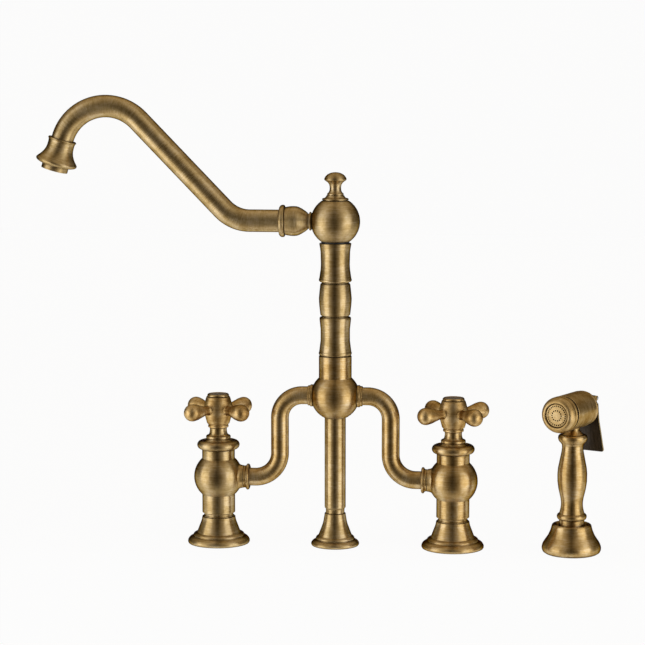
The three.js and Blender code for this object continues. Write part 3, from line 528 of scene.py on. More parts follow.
# (radius, height) round the upright axis, or the axis of the side port or the arm
valveShape = {
    "foot": [
        (24.5, 0), (26.3, 0),
        [(26.8, 1.0), (26.75, 2.4), (25.6, 4.4), (23.6, 5.7), (22.0, 6.15)],
        (21.9, 6.5),
        [(22.15, 7.1), (21.6, 8.1), (20.2, 8.9), (18.9, 9.2)],
        [(18.3, 10.9), (17.2, 13.9), (16.3, 15.9), (15.4, 18.3), (14.8, 20.2), (14.45, 22.0),
         (14.3, 23.2)],
        (12.5, 23.2), (12.5, 14), (16, 7), (24.5, 1.5),
    ],
    "body": [
        (7.3, 2), (12.2, 2), (12.2, 23.5), (13.2, 23.5), (13.2, 24.2), (12.5, 24.4), (12.5, 26.3),
        (14.2, 26.9), (14.2, 42.56),
        ballArc(21.2, 58.3, -47.96, 48.13),
        (14.15, 82.09), (13, 82.09), (13, 85.9), (11.2, 85.9), (11.2, 50), (7.3, 50),
    ],
    "boss": [
        (8.0, 15.5), (11.6, 17.2),
        [(10.8, 18.2), (10.2, 19.4), (9.8, 21.0)],
        (9.7, 22.1), (8.0, 22.1),
    ],
    "collar": [
        (8.0, 22.4), (9.6, 22.4),
        [(9.55, 23.2), (9.75, 24.0), (10.3, 24.6)],
        [(11.0, 24.9), (11.25, 25.6), (11.2, 26.3), (10.7, 26.9)],
        (10.1, 27.2), (8.0, 27.2),
    ],
    "bonnet": [
        (13.3, 82.4), (15.0, 82.4),
        ballArc(3.7, 86.09, -84, 114, 14.65),
        [(11.9, 89.7), (10.7, 90.4), (9.9, 91.7)],
        [(10.5, 92.0), (10.65, 93.0), (10.45, 93.9), (9.85, 94.3)],
        (8.9, 94.6),
        [(8.0, 95.7), (7.5, 97.4), (7.3, 99.3), (7.45, 100.98)],
        (4.3, 100.98), (4.3, 88.5), (11.2, 88.5), (11.2, 86.3), (13.3, 86.3),
    ],
    "hub": [
        (4.3, 101.3), (8.4, 101.3), (8.85, 101.75), (8.85, 103.1), (8.45, 103.7), (8.6, 104.3),
        [(9.5, 104.7), (10.4, 107.5), (11.4, 111), (12.0, 115), (12.15, 118), (11.9, 121.5),
         (11.2, 124.6), (10.1, 127.98)],
        (6.0, 127.98), (6.0, 121), (4.3, 121),
    ],
    "arm": [
        (0, 8), (6.4, 8.6),
        [(5.3, 10.0), (4.3, 11.6), (3.9, 13.4), (4.2, 16.0), (5.0, 19.0), (6.0, 22.3), (6.85, 25.4),
         (7.25, 28), (7.35, 29.4), (7.0, 31.6), (6.0, 33.6), (4.2, 35.3), (2.2, 36.15), (0, 36.35)],
    ],
    "cap": [
        (0, 124.98), (5.7, 124.98), (5.7, 128.29), (9.0, 128.29),
        [(9.35, 128.7), (9.4, 129.4), (9.05, 130.1), (8.6, 130.5)],
        (8.1, 130.58), (7.75, 130.2), (0, 130.35),
    ],
    "darkTop": {"radius": 7.7, "above": 130.1},  # the darker recessed middle of the cap's top
    "armSides": 48,
}


def valve(side, turn, clock):
    x = places["valveX"] * (-1 if side == "hot" else 1)
    at = (x, 0, 0)
    port = (x, 0, places["valveZ"])
    across = (0, 90, turn)
    look = brassLook if side == "hot" else warmLook
    valveBrass = brushedBrass(side + "ValveBrass", at, look=look)
    portBrass = brushedBrass(side + "PortBrass", port, across, look=warmLook)
    footBrass = brushedBrass(side + "FootBrass", at, look={**look, **footShadeDirtReach})

    foot = turnedPiece(side + "FineFoot", valveShape["foot"], at)
    finishPiece(foot, "faucet", [side + "_foot"], [footBrass])

    body = turnedPiece(side + "FineBody", valveShape["body"], at)
    body.data.materials.append(valveBrass)
    boss = turnedPiece("boss", valveShape["boss"], port, across)
    boss.data.materials.append(portBrass)
    combine(body, boss)
    finishPiece(body, "faucet", [side + "_body"], None)

    collar = turnedPiece(side + "FineCollar", valveShape["collar"], port, across)
    finishPiece(collar, "faucet", [side + "_tube_collar"], [portBrass])

    bonnet = turnedPiece(side + "FineBonnet", valveShape["bonnet"], at)
    finishPiece(bonnet, "faucet", [side + "_bonnet"], [valveBrass])

    handle = turnedPiece(side + "FineHandle", valveShape["hub"], at)
    handle.data.materials.append(brushedBrass(side + "HandleBrass", at, look=castLook))
    arm = turnedPiece(side + "Arm", valveShape["arm"], sides=valveShape["armSides"])
    centre = (x, 0, places["armZ"])
    for quarter in range(4):
        outwards = (0, 90, 45 + clock + 90 * quarter)
        name = side + "ArmBrass" + str(quarter)
        branch = copyOf(arm, name)
        branch.data.materials.append(brushedBrass(name, centre, outwards, look=castLook))
        setPlace(branch, centre, outwards)
        combine(handle, branch)
    bpy.data.objects.remove(arm)
    finishPiece(handle, side + "_handle", [side + "_handle"], None)

    cap = turnedPiece(side + "FineCap", valveShape["cap"], at)
    finishPiece(cap, side + "_handle", [side + "_index_cap"], [valveBrass, capTop])
    darkTop = valveShape["darkTop"]
    for face in cap.data.polygons:
        middle = face.center / mm
        if middle.z > darkTop["above"] and hypot(middle.x - x, middle.y) < darkTop["radius"]:
            face.material_index = 1


valve("hot", 0, places["clock"])
valve("cold", 180, -places["clock"])
print("valves done")

tubeSet = {"sides": 48, "bendStep": 4}  # degrees between the rings of a bend


def aheadOf(heading):
    return Vector((cos(radians(heading)), 0, sin(radians(heading))))


def upOf(heading):
    return Vector((-sin(radians(heading)), 0, cos(radians(heading))))


def misfit(place, ring, radius):
    # how far a place is from lying on the ring
    out = place - ring[0]
    return abs(out.length - radius) + abs(out.dot(aheadOf(ring[1])))


def layAlong(piece, rings, radius):
    # a map for the brush lines: the share of a turn, and metres along the tube
    lay = piece.data.uv_layers.new(name="tubeLay")
    spots = []
    for vertex in piece.data.vertices:
        place = vertex.co / mm
        centre, heading, far = min(rings, key=lambda ring: misfit(place, ring, radius))
        out = place - centre
        spots.append((atan2(out.dot(upOf(heading)), out.y) / (2 * pi) % 1.0, far * mm))
    for face in piece.data.polygons:
        corners = [spots[piece.data.loops[i].vertex_index] for i in face.loop_indices]
        shares = [u for u, v in corners]
        seam = max(shares) - min(shares) > 0.5
        for i, (u, v) in zip(face.loop_indices, corners):
            lay.data[i].uv = (u + 1 if seam and u < 0.5 else u, v)


def tubePiece(name, start, runs, radius, wall):
    # runs are lengths ahead, or (radius, turn) bends in the XZ plane, starting along +X
    bpy.ops.object.select_all(action="DESELECT")
    bpy.ops.mesh.primitive_circle_add(
        vertices=tubeSet["sides"], radius=radius * mm, location=[v * mm for v in start]
    )
    piece = bpy.context.object
    piece.name = name
    piece.rotation_euler = (0, pi / 2, 0)
    bpy.ops.object.transform_apply(location=True, rotation=True, scale=True)
    bpy.ops.object.mode_set(mode="EDIT")
    bpy.ops.mesh.select_all(action="SELECT")
    at, heading, length = Vector(start), 0.0, 0.0
    rings = [(at, heading, length)]
    for run in runs:
        if isinstance(run, tuple):
            bend, turn = run
            side = 1 if turn > 0 else -1
            centre = at + upOf(heading) * side * bend
            steps = max(2, round(abs(turn) / tubeSet["bendStep"]))
            bpy.ops.mesh.spin(
                steps=steps, angle=radians(abs(turn)), center=centre * mm, axis=(0, side, 0)
            )
            for i in range(1, steps + 1):
                angle = heading + turn * i / steps
                length += bend * radians(abs(turn)) / steps
                rings.append((centre - upOf(angle) * side * bend, angle, length))
            heading += turn
        else:
            ahead = aheadOf(heading) * run
            bpy.ops.mesh.extrude_region_move(TRANSFORM_OT_translate={"value": ahead * mm})
            length += run
            rings.append((at + ahead, heading, length))
        at = rings[-1][0]
    bpy.ops.mesh.select_all(action="SELECT")
    bpy.ops.mesh.normals_make_consistent(inside=False)
    bpy.ops.object.mode_set(mode="OBJECT")
    layAlong(piece, rings, radius)
    shell = piece.modifiers.new("wall", "SOLIDIFY")
    shell.thickness = wall * mm
    shell.offset = -1
    applyAll(piece)
    return piece, rings


tubeBrass = brushedBrass("tubeBrass", tube="tubeLay", look={**brassLook, **tubeGloss})
bridgeBrass = brushedBrass("bridgeBrass", tube="tubeLay", look={**warmLook, **tubeGloss})

bridgeShape = {
    "start": 18.0,  # from the valve's axis
    "lowerBend": 21.5,
    "upperBend": 19.6,
    "end": 12.3,  # from the hub's axis
    "radius": 7.7,
    "wall": 1.2,
}


def bridgeTube(side):
    upright = places["valveX"] - places["crossX"]
    low, high = bridgeShape["lowerBend"], bridgeShape["upperBend"]
    runs = [
        upright - low - bridgeShape["start"],
        (low, 90),
        places["hubZ"] - places["valveZ"] - low - high,
        (high, -90),
        places["crossX"] - high - bridgeShape["end"],
    ]
    start = (bridgeShape["start"] - places["valveX"], 0, places["valveZ"])
    radius, wall = bridgeShape["radius"], bridgeShape["wall"]
    tube = tubePiece(side + "FineBridge", start, runs, radius, wall)[0]
    if side == "cold":
        setPlace(tube, tilt=(0, 0, 180))
    finishPiece(tube, "faucet", [side + "_bridge_tube"], [bridgeBrass])


bridgeTube("hot")
bridgeTube("cold")
print("bridge done")

# (radius, height) round the leg's axis, or outwards from the hub's centre for its collars
centreShape = {
    "hub": [
        (9.38, 111.5),
        ballArc(21.1, 130.4, -63.6, 48.25),
        (14.05, 165.0), (10.2, 165.0), (10.2, 150), (8.2, 150), (8.2, 140), (5, 140), (5, 118),
        (9.38, 118),
    ],
    "hubCollar": [
        (8.0, 19.14), (9.5, 19.14), (9.5, 21.2), (8.7, 21.6), (8.7, 22.9),
        [(8.6, 23.3), (8.3, 23.54)],
        (8.0, 23.54),
    ],
    "leg": [
        (5, 2.3), (7.2, 2.3), (7.2, 28.3), (8.05, 28.3), (8.05, 32.0), (9.08, 33.3), (9.08, 117.7),
        (5, 117.7),
    ],
    "legFoot": [
        (18.8, 0), (20.1, 0),
        [(20.7, 0.9), (20.7, 2.1), (19.7, 3.6), (17.9, 4.6), (16.5, 4.95)],
        (16.2, 5.3),
        [(16.75, 6.0), (16.6, 6.9), (15.7, 7.9), (14.7, 8.3)],
        [(13.8, 10.8), (12.5, 13.7), (11.4, 16.6), (10.5, 19.4), (9.85, 22.4), (9.35, 25.2),
         (9.1, 28)],
        (7.5, 28), (7.5, 16.8), (12, 8), (18.8, 1.5),
    ],
    "lowerSleeve": [
        (10.2, 165.3), (13.1, 165.3), (13.1, 165.9), (13.7, 166.1),
        [(14.05, 166.7), (14.1, 168.0), (13.75, 168.9)],
        [(13.4, 171.3), (13.1, 173.3), (12.75, 176), (12.4, 183.3), (12.75, 190.8),
         (13.15, 193.6)],
        [(13.4, 195.6), (13.45, 197.5), (13.2, 198.4)],
        (11.7, 198.7), (11.7, 199.3), (10.2, 199.3),
    ],
    "barrel": [
        (10.2, 199.6), (11.7, 199.6), (11.7, 200.1), (12.6, 200.3),
        [(12.9, 201.6), (13.15, 203.7), (13.4, 206.3), (13.8, 209.7), (14.07, 214), (13.8, 218.3),
         (13.4, 221.6), (13.15, 224.2), (12.9, 226.2), (12.65, 227.2)],
        (11.7, 227.4), (11.7, 227.9), (10.2, 227.9),
    ],
    "upperSleeve": [
        (10.2, 228.2), (11.8, 228.2), (11.8, 228.7), (13.0, 228.8),
        [(13.5, 229.2), (14.0, 229.9), (14.05, 230.9), (13.7, 231.8)],
        [(13.25, 234.4), (13.0, 236.8), (12.55, 239.6), (12.35, 243), (12.4, 249.7), (12.6, 254.4),
         (13.0, 257.4)],
        [(13.3, 259.4), (13.6, 260.8)],
        (13.6, 261.8), (10.2, 261.8),
    ],
    "washer": [(10.2, 262.1), (12.1, 262.1), (12.1, 263.2), (10.2, 263.2)],
}

centreBrass = brushedBrass("centreBrass")
legFootBrass = brushedBrass("legFootBrass", look={**brassLook, **footShadeDirtReach})
hubBrass = brushedBrass("hubBrass", look=warmLook)


def centrePiece(name, shape, node, finish=centreBrass, edge=0.25):
    piece = turnedPiece(name, centreShape[shape], edge=edge)
    finishPiece(piece, "faucet", [node], [finish])


def hubAndRiser():
    centrePiece("fineHub", "hub", "hub", hubBrass)
    centrePiece("fineLeg", "leg", "leg")
    centrePiece("fineLegFoot", "legFoot", "leg_foot", legFootBrass)
    centrePiece("fineLowerSleeve", "lowerSleeve", "lower_sleeve")
    centrePiece("fineBarrel", "barrel", "barrel_sleeve")
    centrePiece("fineUpperSleeve", "upperSleeve", "upper_sleeve")
    centrePiece("fineWasher", "washer", "swivel_washer", blackPlastic, 0.15)
    at = (0, 0, places["hubZ"])
    for side, turn in (("left", 180), ("right", 0)):
        collar = turnedPiece(side + "FineHubCollar", centreShape["hubCollar"], at, (0, 90, turn))
        brass = brushedBrass(side + "HubCollarBrass", at, (0, 90, turn), look=warmLook)
        finishPiece(collar, "faucet", [side + "_hub_collar"], [brass])


hubAndRiser()
print("hub and riser done")

# (radius, height) round the riser's axis, or outwards from the riser or the tube's last bend
spoutShape = {
    "ball": [
        (10.2, 263.5), (12.63, 263.5),
        ballArc(21.1, 280.4, -53.23, 56.98),
        (11.5, 297.4), (5, 297.4), (5, 288), (8.0, 288), (8.0, 274.3), (10.2, 274.3),
    ],
    "finial": [
        (0, 289), (4.7, 289), (4.7, 297.7), (10.0, 297.7), (10.0, 298.5), (10.9, 298.6),
        [(11.25, 298.9), (11.25, 299.6), (10.8, 300.1)],
        [(9.3, 300.5), (8.2, 301.3), (7.6, 302.5)],
        (6.9, 302.7), (6.9, 303.0),
        [(7.1, 303.3), (7.1, 303.9), (6.8, 304.3)],
        [(6.0, 305.0), (5.2, 306.4), (4.85, 308.4), (4.95, 310.4), (5.5, 312.2), (6.7, 313.7),
         (8.3, 314.9), (9.3, 315.6)],
        (9.5, 316.2),
        [(9.4, 316.9), (8.6, 318.5), (6.7, 320.4), (3.6, 321.8), (0, 322.3)],
    ],
    "union": [
        (5, 10.5), (6.5, 10.5), (6.5, 20.3), (7.4, 20.5),
        [(7.9, 21.0), (7.9, 21.7), (7.4, 22.2)],
        (6.4, 22.4), (6.4, 23.2),
        [(7.2, 23.8), (9.0, 26.0), (11.2, 29.6), (12.4, 32.5), (12.75, 35.6), (12.65, 38.4),
         (12.3, 40.9), (11.8, 43.0)],
        (9.9, 43.0), (9.9, 35.7), (8.1, 35.7), (5, 30),
    ],
    "ring": [
        (9.9, 43.3), (12.9, 43.3),
        [(13.6, 43.9), (13.8, 45.0), (13.6, 46.2), (12.9, 47.2), (12.1, 47.75)],
        (9.9, 47.9),
    ],
    "nozzle": [
        (9.9, 0), (12.0, 0),
        [(12.25, 0.5), (12.2, 1.2)],
        (11.7, 1.6),
        [(11.4, 3.2), (11.35, 6.0), (11.75, 9.4), (12.8, 12.4), (14.5, 15.4), (16.4, 17.8),
         (17.5, 19.0)],
        [(17.85, 19.9), (17.6, 20.9), (16.4, 22.0), (14.2, 22.9)],
        (13.4, 23.1), (11.8, 23.1), (11.8, 12.5), (8.1, 12.5), (8.1, 8.3), (9.9, 8.3),
    ],
    "aerator": [
        (8.6, 12.8), (11.5, 12.8), (11.5, 27.4), (9.8, 27.4), (9.8, 14.3), (8.6, 14.3),
    ],
    "setScrew": [
        (0.9, 12.3), (0.9, 14.5), (1.9, 14.5), (1.9, 9.0), (0, 9.0),
    ],
    "tubeStart": 36.0,
    "tubeRuns": [37.5, (32, 46), 104.5, (39.4, -120), 8],  # along, up and over to the nozzle
    "tubeRadius": 9.6,
    "tubeWall": 1.5,
    "screwZ": 266.7,
}


def spoutPiece(name, shape, node, finish, at=(0, 0, 0), tilt=(0, 0, 0), edge=0.25):
    piece = turnedPiece(name, spoutShape[shape], at, tilt, edge)
    finishPiece(piece, "spout", [node], [finish])


def spout():
    ballAt = (0, 0, places["spoutZ"])
    toLeft = (0, -90, 0)
    spoutBrass = brushedBrass("spoutBrass", look=softLook)
    unionBrass = brushedBrass("unionBrass", ballAt, toLeft)
    spoutPiece("fineSpoutBall", "ball", "spout_ball", spoutBrass)
    spoutPiece("fineFinial", "finial", "finial", spoutBrass, edge=0.2)
    spoutPiece("fineUnion", "union", "spout_union", unionBrass, ballAt, toLeft)
    spoutPiece("fineSpoutRing", "ring", "spout_ring", unionBrass, ballAt, toLeft)

    # the tube is swept to the right, and then turned round to the left
    start = (spoutShape["tubeStart"], 0, places["spoutZ"])
    radius, wall = spoutShape["tubeRadius"], spoutShape["tubeWall"]
    tube, rings = tubePiece("fineSpoutTube", start, spoutShape["tubeRuns"], radius, wall)
    setPlace(tube, tilt=(0, 0, 180))
    finishPiece(tube, "spout", ["spout_tube"], [tubeBrass])

    bendEnd, heading = rings[-2][:2]
    outletAt = (-bendEnd.x, 0, bendEnd.z)
    down = (0, heading - 90, 0)
    outletBrass = brushedBrass("outletBrass", outletAt, down, look=softLook)
    spoutPiece("fineNozzle", "nozzle", "nozzle", outletBrass, outletAt, down)
    spoutPiece("fineAerator", "aerator", "aerator_ring", outletBrass, outletAt, down)

    screwAt = (0, 0, spoutShape["screwZ"])
    screw = turnedPiece("fineSetScrew", spoutShape["setScrew"], screwAt, (-90, 0, 0), 0.12, 24)
    finishPiece(screw, "spout", ["spout_set_screw"], [steel])


spout()
print("spout done")

# (radius, height) round the handle's axis, or forwards from the middle of the head
sprayShape = {
    "holder": [
        (20.8, 0), (22.4, 0),
        [(24.4, 1.5), (25.2, 4.2), (24.8, 6.9), (23.4, 9.8), (21.6, 12.4), (19.9, 15.0),
         (18.7, 17.6), (17.6, 20.6), (17.0, 22.9)],
        [(16.7, 24.1), (15.9, 24.9), (14.8, 24.95), (13.9, 24.5), (13.6, 23.6)],
        (13.6, 16), (20, 8.5), (20.8, 1.5),
    ],
    "liner": [
        (8.5, 0), (20.5, 0), (20.5, 1.2), (13.3, 1.2), (13.3, 18), (10.17, 18), (8.53, 14),
    ],
    "handle": [
        (4.5, 12), (8.2, 12), (8.2, 14), (10.7, 20), (10.7, 29.0),
        [(11.7, 29.3), (12.4, 30.3), (12.7, 31.6), (12.5, 32.8), (11.8, 33.7)],
        (10.7, 34.1), (10.6, 34.7),
        [(10.2, 36.2), (9.6, 38.7), (9.25, 42.5), (9.6, 46.6), (10.75, 51.4), (11.85, 56.7),
         (12.5, 61.6), (12.65, 66.6), (12.4, 71.6), (11.9, 75), (10.95, 80), (9.9, 85.2), (9.3, 88),
         (9.0, 91), (9.15, 93.2)],
        [(10.0, 94.7), (11.5, 96.3), (12.35, 98.2), (12.5, 99.7), (12.0, 101.2), (11.2, 102)],
        (6.3, 102), (6.3, 94), (4.5, 94),
    ],
    "barrel": [
        (10, -14.6), (14.6, -14.6),
        [(15.1, -14.2), (15.25, -13.4), (15.4, -9.8), (15.4, -2), (15.4, 6), (15.3, 18.5)],
        (14.9, 18.9), (12.9, 18.9), (12.9, 20.5), (12.6, 20.5), (12.6, 4), (3.5, 4), (3.5, -6),
        (10, -6),
    ],
    "neck": [
        (3.4, 94.5), (6, 94.5), (6, 102.3), (9.4, 102.3),
        [(8.5, 103.0), (7.0, 104.4), (5.9, 106.2), (5.8, 107.8), (6.8, 109.6)],
        (6.8, 112.2), (3.4, 112.2),
    ],
    "frontRing": [
        (11, 14.5), (12.1, 14.5), (12.1, 20.8), (14.9, 20.8),
        [(15.3, 21.2), (15.4, 22.3), (15.1, 23.4)],
        (14.75, 23.8),
        [(15.25, 24.3), (15.4, 25.6), (15.2, 27.4), (14.5, 29.3), (13.2, 30.9), (12.0, 31.5)],
        (10.9, 31.6),
        [(10.5, 31.35), (10.35, 30.9)],
        (10.35, 28.4), (9.05, 28.4), (9.05, 25.8),
    ],
    "face": [
        (0, 28.7), (9.85, 28.7), (9.85, 30.2),
        [(9.65, 30.5), (9.1, 30.62), (7, 30.82), (4, 30.96), (0, 31.0)],
    ],
    "rearCap": [
        (6, -11.3), (9.4, -11.3), (9.4, -15.2), (13.4, -15.2),
        [(14.4, -15.5), (14.9, -16.2), (14.8, -17.8), (14.1, -19.4), (12.5, -21.0), (9.9, -22.1),
         (6.4, -22.65), (2.5, -22.78)],
        (2.1, -22.6), (2.1, -17.1), (6, -17.1),
    ],
    "pin": [(0, -9.9), (1.3, -9.9), (1.3, 9.9), (0, 9.9)],
    "plunger": [
        (0, -24.2), (1.8, -24.2), (1.8, -14.7), (5, -14.7), (5, -13.4), (1.8, -13.4), (1.8, 4.3),
        (5, 4.3), (5, 6.3), (0, 7.1),
    ],
    "holes": {8.1: 28, 4.3: 14},  # number on each circle, by its radius
    "drill": [(0, 27), (0.66, 27), (0.66, 33), (0, 33)],
    "groove": {"start": 18.6, "end": 20.4, "rim": 15.0},  # inside the rim
    "ears": {"radius": 2.0, "inner": 7.5, "outer": 9.4, "root": 8.0, "clear": 0.02},
}

sprayAt = (places["sprayX"], places["sprayY"], 0)
headAt = (places["sprayX"], places["sprayY"], places["headZ"])
upright = (0, 0, places["sprayTurn"])
forward = (90, 0, places["sprayTurn"])
across = (0, 90, places["sprayTurn"])
sprayTurned = Matrix.Rotation(radians(places["sprayTurn"]), 3, "Z")
pinAt = Vector(headAt) + sprayTurned @ Vector((0, places["pinBack"], places["pinRise"]))
sprayBrass = brushedBrass("sprayBrass", sprayAt, upright, look=warmLook)
headBrass = brushedBrass("headBrass", headAt, forward, look=headLook)


def sprayPiece(name, shape, node, body, at, tilt, finish, edge=0.25):
    piece = turnedPiece(name, sprayShape[shape], at, tilt, edge)
    finishPiece(piece, body, [node], [finish])


def sprayBody():
    sprayPiece("fineHolder", "holder", "spray_holder", "faucet", sprayAt, upright, sprayBrass)
    sprayPiece(
        "fineLiner", "liner", "holder_liner", "faucet", sprayAt, upright, blackPlastic
    )
    sprayPiece("fineSprayHandle", "handle", "spray_handle", "hand_spray", sprayAt, upright, sprayBrass)
    sprayPiece(
        "fineFrontRing", "frontRing", "spray_front_ring", "hand_spray", headAt, forward, headBrass,
        edge=0.2,
    )
    sprayPiece("finePin", "pin", "lever_pin", "hand_spray", pinAt, across, steel)
    sprayPiece("finePlunger", "plunger", "spray_plunger", "plunger", headAt, forward, steel)

    head = turnedPiece("fineSprayHead", sprayShape["barrel"], headAt, forward)
    head.data.materials.append(headBrass)
    neck = turnedPiece("neck", sprayShape["neck"], sprayAt, upright)
    neck.data.materials.append(sprayBrass)
    combine(head, neck)
    # the groove behind the front ring is painted near-black, as painted shade in the crevice
    head.data.materials.append(grooveDark)
    start = Vector(headAt) * mm
    ahead = sprayTurned @ Vector((0, -1, 0))
    groove = sprayShape["groove"]
    for face in head.data.polygons:
        along = (face.center - start).dot(ahead) / mm
        out = (face.center - start - ahead * along * mm).length / mm
        if groove["start"] < along < groove["end"] and out < groove["rim"]:
            face.material_index = len(head.data.materials) - 1
    finishPiece(head, "hand_spray", ["spray_head"], None)


def sprayFace():
    face = turnedPiece("fineFace", sprayShape["face"])
    drill = turnedPiece("drill", sprayShape["drill"], sides=10)
    bits = []
    for radius, count in sprayShape["holes"].items():
        for i in range(count):
            bit = copyOf(drill, "bit")
            angle = 2 * pi * i / count
            setPlace(bit, (radius * cos(angle), radius * sin(angle), 0))
            bits.append(bit)
    bpy.data.objects.remove(drill)
    pickOnly(*bits)
    bpy.ops.object.join()
    combine(face, bits[0], "DIFFERENCE")
    setPlace(face, headAt, forward)
    finishPiece(face, "hand_spray", ["spray_face"], [headBrass])


def rearCap():
    cap = turnedPiece("fineRearCap", sprayShape["rearCap"], headAt, forward)
    cap.data.materials.append(headBrass)
    ears = sprayShape["ears"]
    radius, root, clear = ears["radius"], ears["root"], ears["clear"]
    for side in (-1, 1):
        low, high = sorted((side * ears["inner"], side * ears["outer"]))
        ear = turnedPiece("ear", [(0, low), (radius, low), (radius, high), (0, high)], edge=0.35)
        # the web runs forwards from the ear into the cap, and is a hair narrower than the ear
        bpy.ops.object.select_all(action="DESELECT")
        bpy.ops.mesh.primitive_cube_add(size=1, location=(0, 0, 0))
        web = bpy.context.object
        web.scale = [v * mm for v in (2 * radius - clear, root, high - low - clear)]
        web.location = (0, -root / 2 * mm, (low + high) / 2 * mm)
        bpy.ops.object.transform_apply(location=True, rotation=True, scale=True)
        combine(ear, web)
        setPlace(ear, pinAt, across)
        combine(cap, ear)
    finishPiece(cap, "hand_spray", ["spray_rear_cap"], None)


sprayBody()
sprayFace()
rearCap()
print("hand spray done")

leverShape = {
    # the middle of the plate, (behind the handle's axis, below the pin)
    "line": [
        (26.8, -2), (26.8, 0), (26.5, 8), (26.1, 20.4), (27.4, 28.0), (29.0, 39.1), (30.4, 46.6),
    ],
    "lineTurn": 1.5,  # degrees
    # its right edge, (across, below the pin)
    "corners": [
        (7.1, -2.0), (7.1, 3.4), (10.2, 4.8), (11.8, 20.4), (12.1, 22.0), (14.5, 45.2), (13.2, 46.6),
    ],
    "halfWidth": 16,  # of the plate before the outline cuts it
    "outlineFrom": 20,  # behind the handle's axis
    "outlineDepth": 16,
    "pad": [(0, -26.8), (1.5, -26.8), (1.5, -24.5), (0, -24.5)],
    "thickness": 1.8,
    "knuckle": 2.2,
    "edge": 0.4,
    "rubbed": 0.6,  # faces that look this much to the side
}


def lever():
    line = throughPoints([Vector(p) for p in leverShape["line"]])
    spine = thinned(line, leverShape["lineTurn"])
    half = leverShape["halfWidth"]
    plate = chainOf("fineLever", [Vector((-half, p.x, -p.y)) * mm for p in spine])
    bpy.ops.mesh.extrude_region_move(TRANSFORM_OT_translate={"value": (2 * half * mm, 0, 0)})
    bpy.ops.object.mode_set(mode="OBJECT")
    wall = plate.modifiers.new("thickness", "SOLIDIFY")
    wall.thickness = leverShape["thickness"] * mm
    wall.offset = 0
    applyAll(plate)
    plate.data.materials.append(leverFace)

    right = leverShape["corners"]
    around = right + [(-x, drop) for x, drop in reversed(right)]
    near, depth = leverShape["outlineFrom"], leverShape["outlineDepth"]
    outline = chainOf("leverOutline", [Vector((x, near, -drop)) * mm for x, drop in around])
    bpy.ops.mesh.edge_face_add()
    bpy.ops.mesh.extrude_region_move(TRANSFORM_OT_translate={"value": (0, depth * mm, 0)})
    bpy.ops.mesh.select_all(action="SELECT")
    bpy.ops.mesh.normals_make_consistent(inside=False)
    bpy.ops.object.mode_set(mode="OBJECT")
    outline.data.materials.append(leverFace)
    combine(plate, outline, "INTERSECT")
    rim = plate.modifiers.new("rim", "BEVEL")
    rim.width = leverShape["edge"] * mm
    rim.segments = 2
    rim.limit_method = "ANGLE"
    rim.angle_limit = radians(40)
    applyAll(plate)

    # a knuckle round the pin, and a pad that meets the plunger
    end, radius = right[0][0], leverShape["knuckle"]
    barrel = [(0, -end), (radius, -end), (radius, end), (0, end)]
    knuckle = turnedPiece("knuckle", barrel, (0, places["pinBack"], 0), (0, 90, 0), 0.3, 32)
    knuckle.data.materials.append(leverFace)
    combine(plate, knuckle)
    pad = turnedPiece("pad", leverShape["pad"], (0, 0, -places["pinRise"]), (90, 0, 0), 0.2, 24)
    pad.data.materials.append(leverFace)
    combine(plate, pad)

    # the long edges are rubbed bright
    plate.data.materials.append(innerBrass)
    for face in plate.data.polygons:
        if abs(face.normal.x) > leverShape["rubbed"] and face.center.z < -radius * mm:
            face.material_index = 1
    setPlace(plate, (sprayAt[0], sprayAt[1], places["headZ"] + places["pinRise"]), upright)
    finishPiece(plate, "lever", ["spray_lever"], None)


lever()
print("lever done")

# the finish of each slot, for the CAD nodes
slotFinish = {
    "inner_brass": innerBrass,
    "steel": steel,
    "rubber": rubber,
    "black_plastic": blackPlastic,
    "ceramic": ceramic,
    "dark_brass": leverFace,
    "antique_brass": centreBrass,
}


def finishNodes():
    for part in frame["record"]["subparts"]:
        node = frame["nodes"][part["node"]]
        node.data.materials.clear()
        node.data.materials.append(slotFinish[part["material_slot"]])


finishNodes()
print("plain nodes finished")

# the floor and the screen behind it, metres
stageSet = {
    "left": -1.2,
    "right": 1.0,
    "front": -0.06,  # the floor ends here, with a rounded edge
    "back": 3.0,
    "depth": 0.35,  # of the floor's front
    "height": 0.66,  # of the screen behind
    "round": {"width": 0.02, "segments": 8},
    "white": 0.95,  # share of the plain white that shows to the eye and in reflections
}


def paleFinish(name, oneSided):
    # white to the eye, and matt where it lights the faucet
    material = bpy.data.materials.new(name)
    material.use_nodes = True
    tree = material.node_tree
    tree.nodes.clear()
    output = addNode(tree, "OutputMaterial")
    path = addNode(tree, "LightPath")
    seen = mathNode(tree, "MAXIMUM", path.outputs["Is Camera Ray"], path.outputs["Is Glossy Ray"])
    seen = mathNode(tree, "MAXIMUM", seen, path.outputs["Is Transmission Ray"])
    share = mathNode(tree, "MULTIPLY", seen, stageSet["white"])
    matt = addNode(tree, "BsdfDiffuse", {"Color": (0.85, 0.85, 0.85, 1)}).outputs[0]
    glow = addNode(tree, "Emission", {"Color": (1, 1, 1, 1), "Strength": 1.0}).outputs[0]
    mixed = addNode(tree, "MixShader", {0: share, 1: matt, 2: glow}).outputs[0]
    if oneSided:
        clear = addNode(tree, "BsdfTransparent").outputs[0]
        behind = addNode(tree, "NewGeometry").outputs["Backfacing"]
        mixed = addNode(tree, "MixShader", {0: behind, 1: mixed, 2: clear}).outputs[0]
    tree.links.new(mixed, output.inputs["Surface"])
    return material


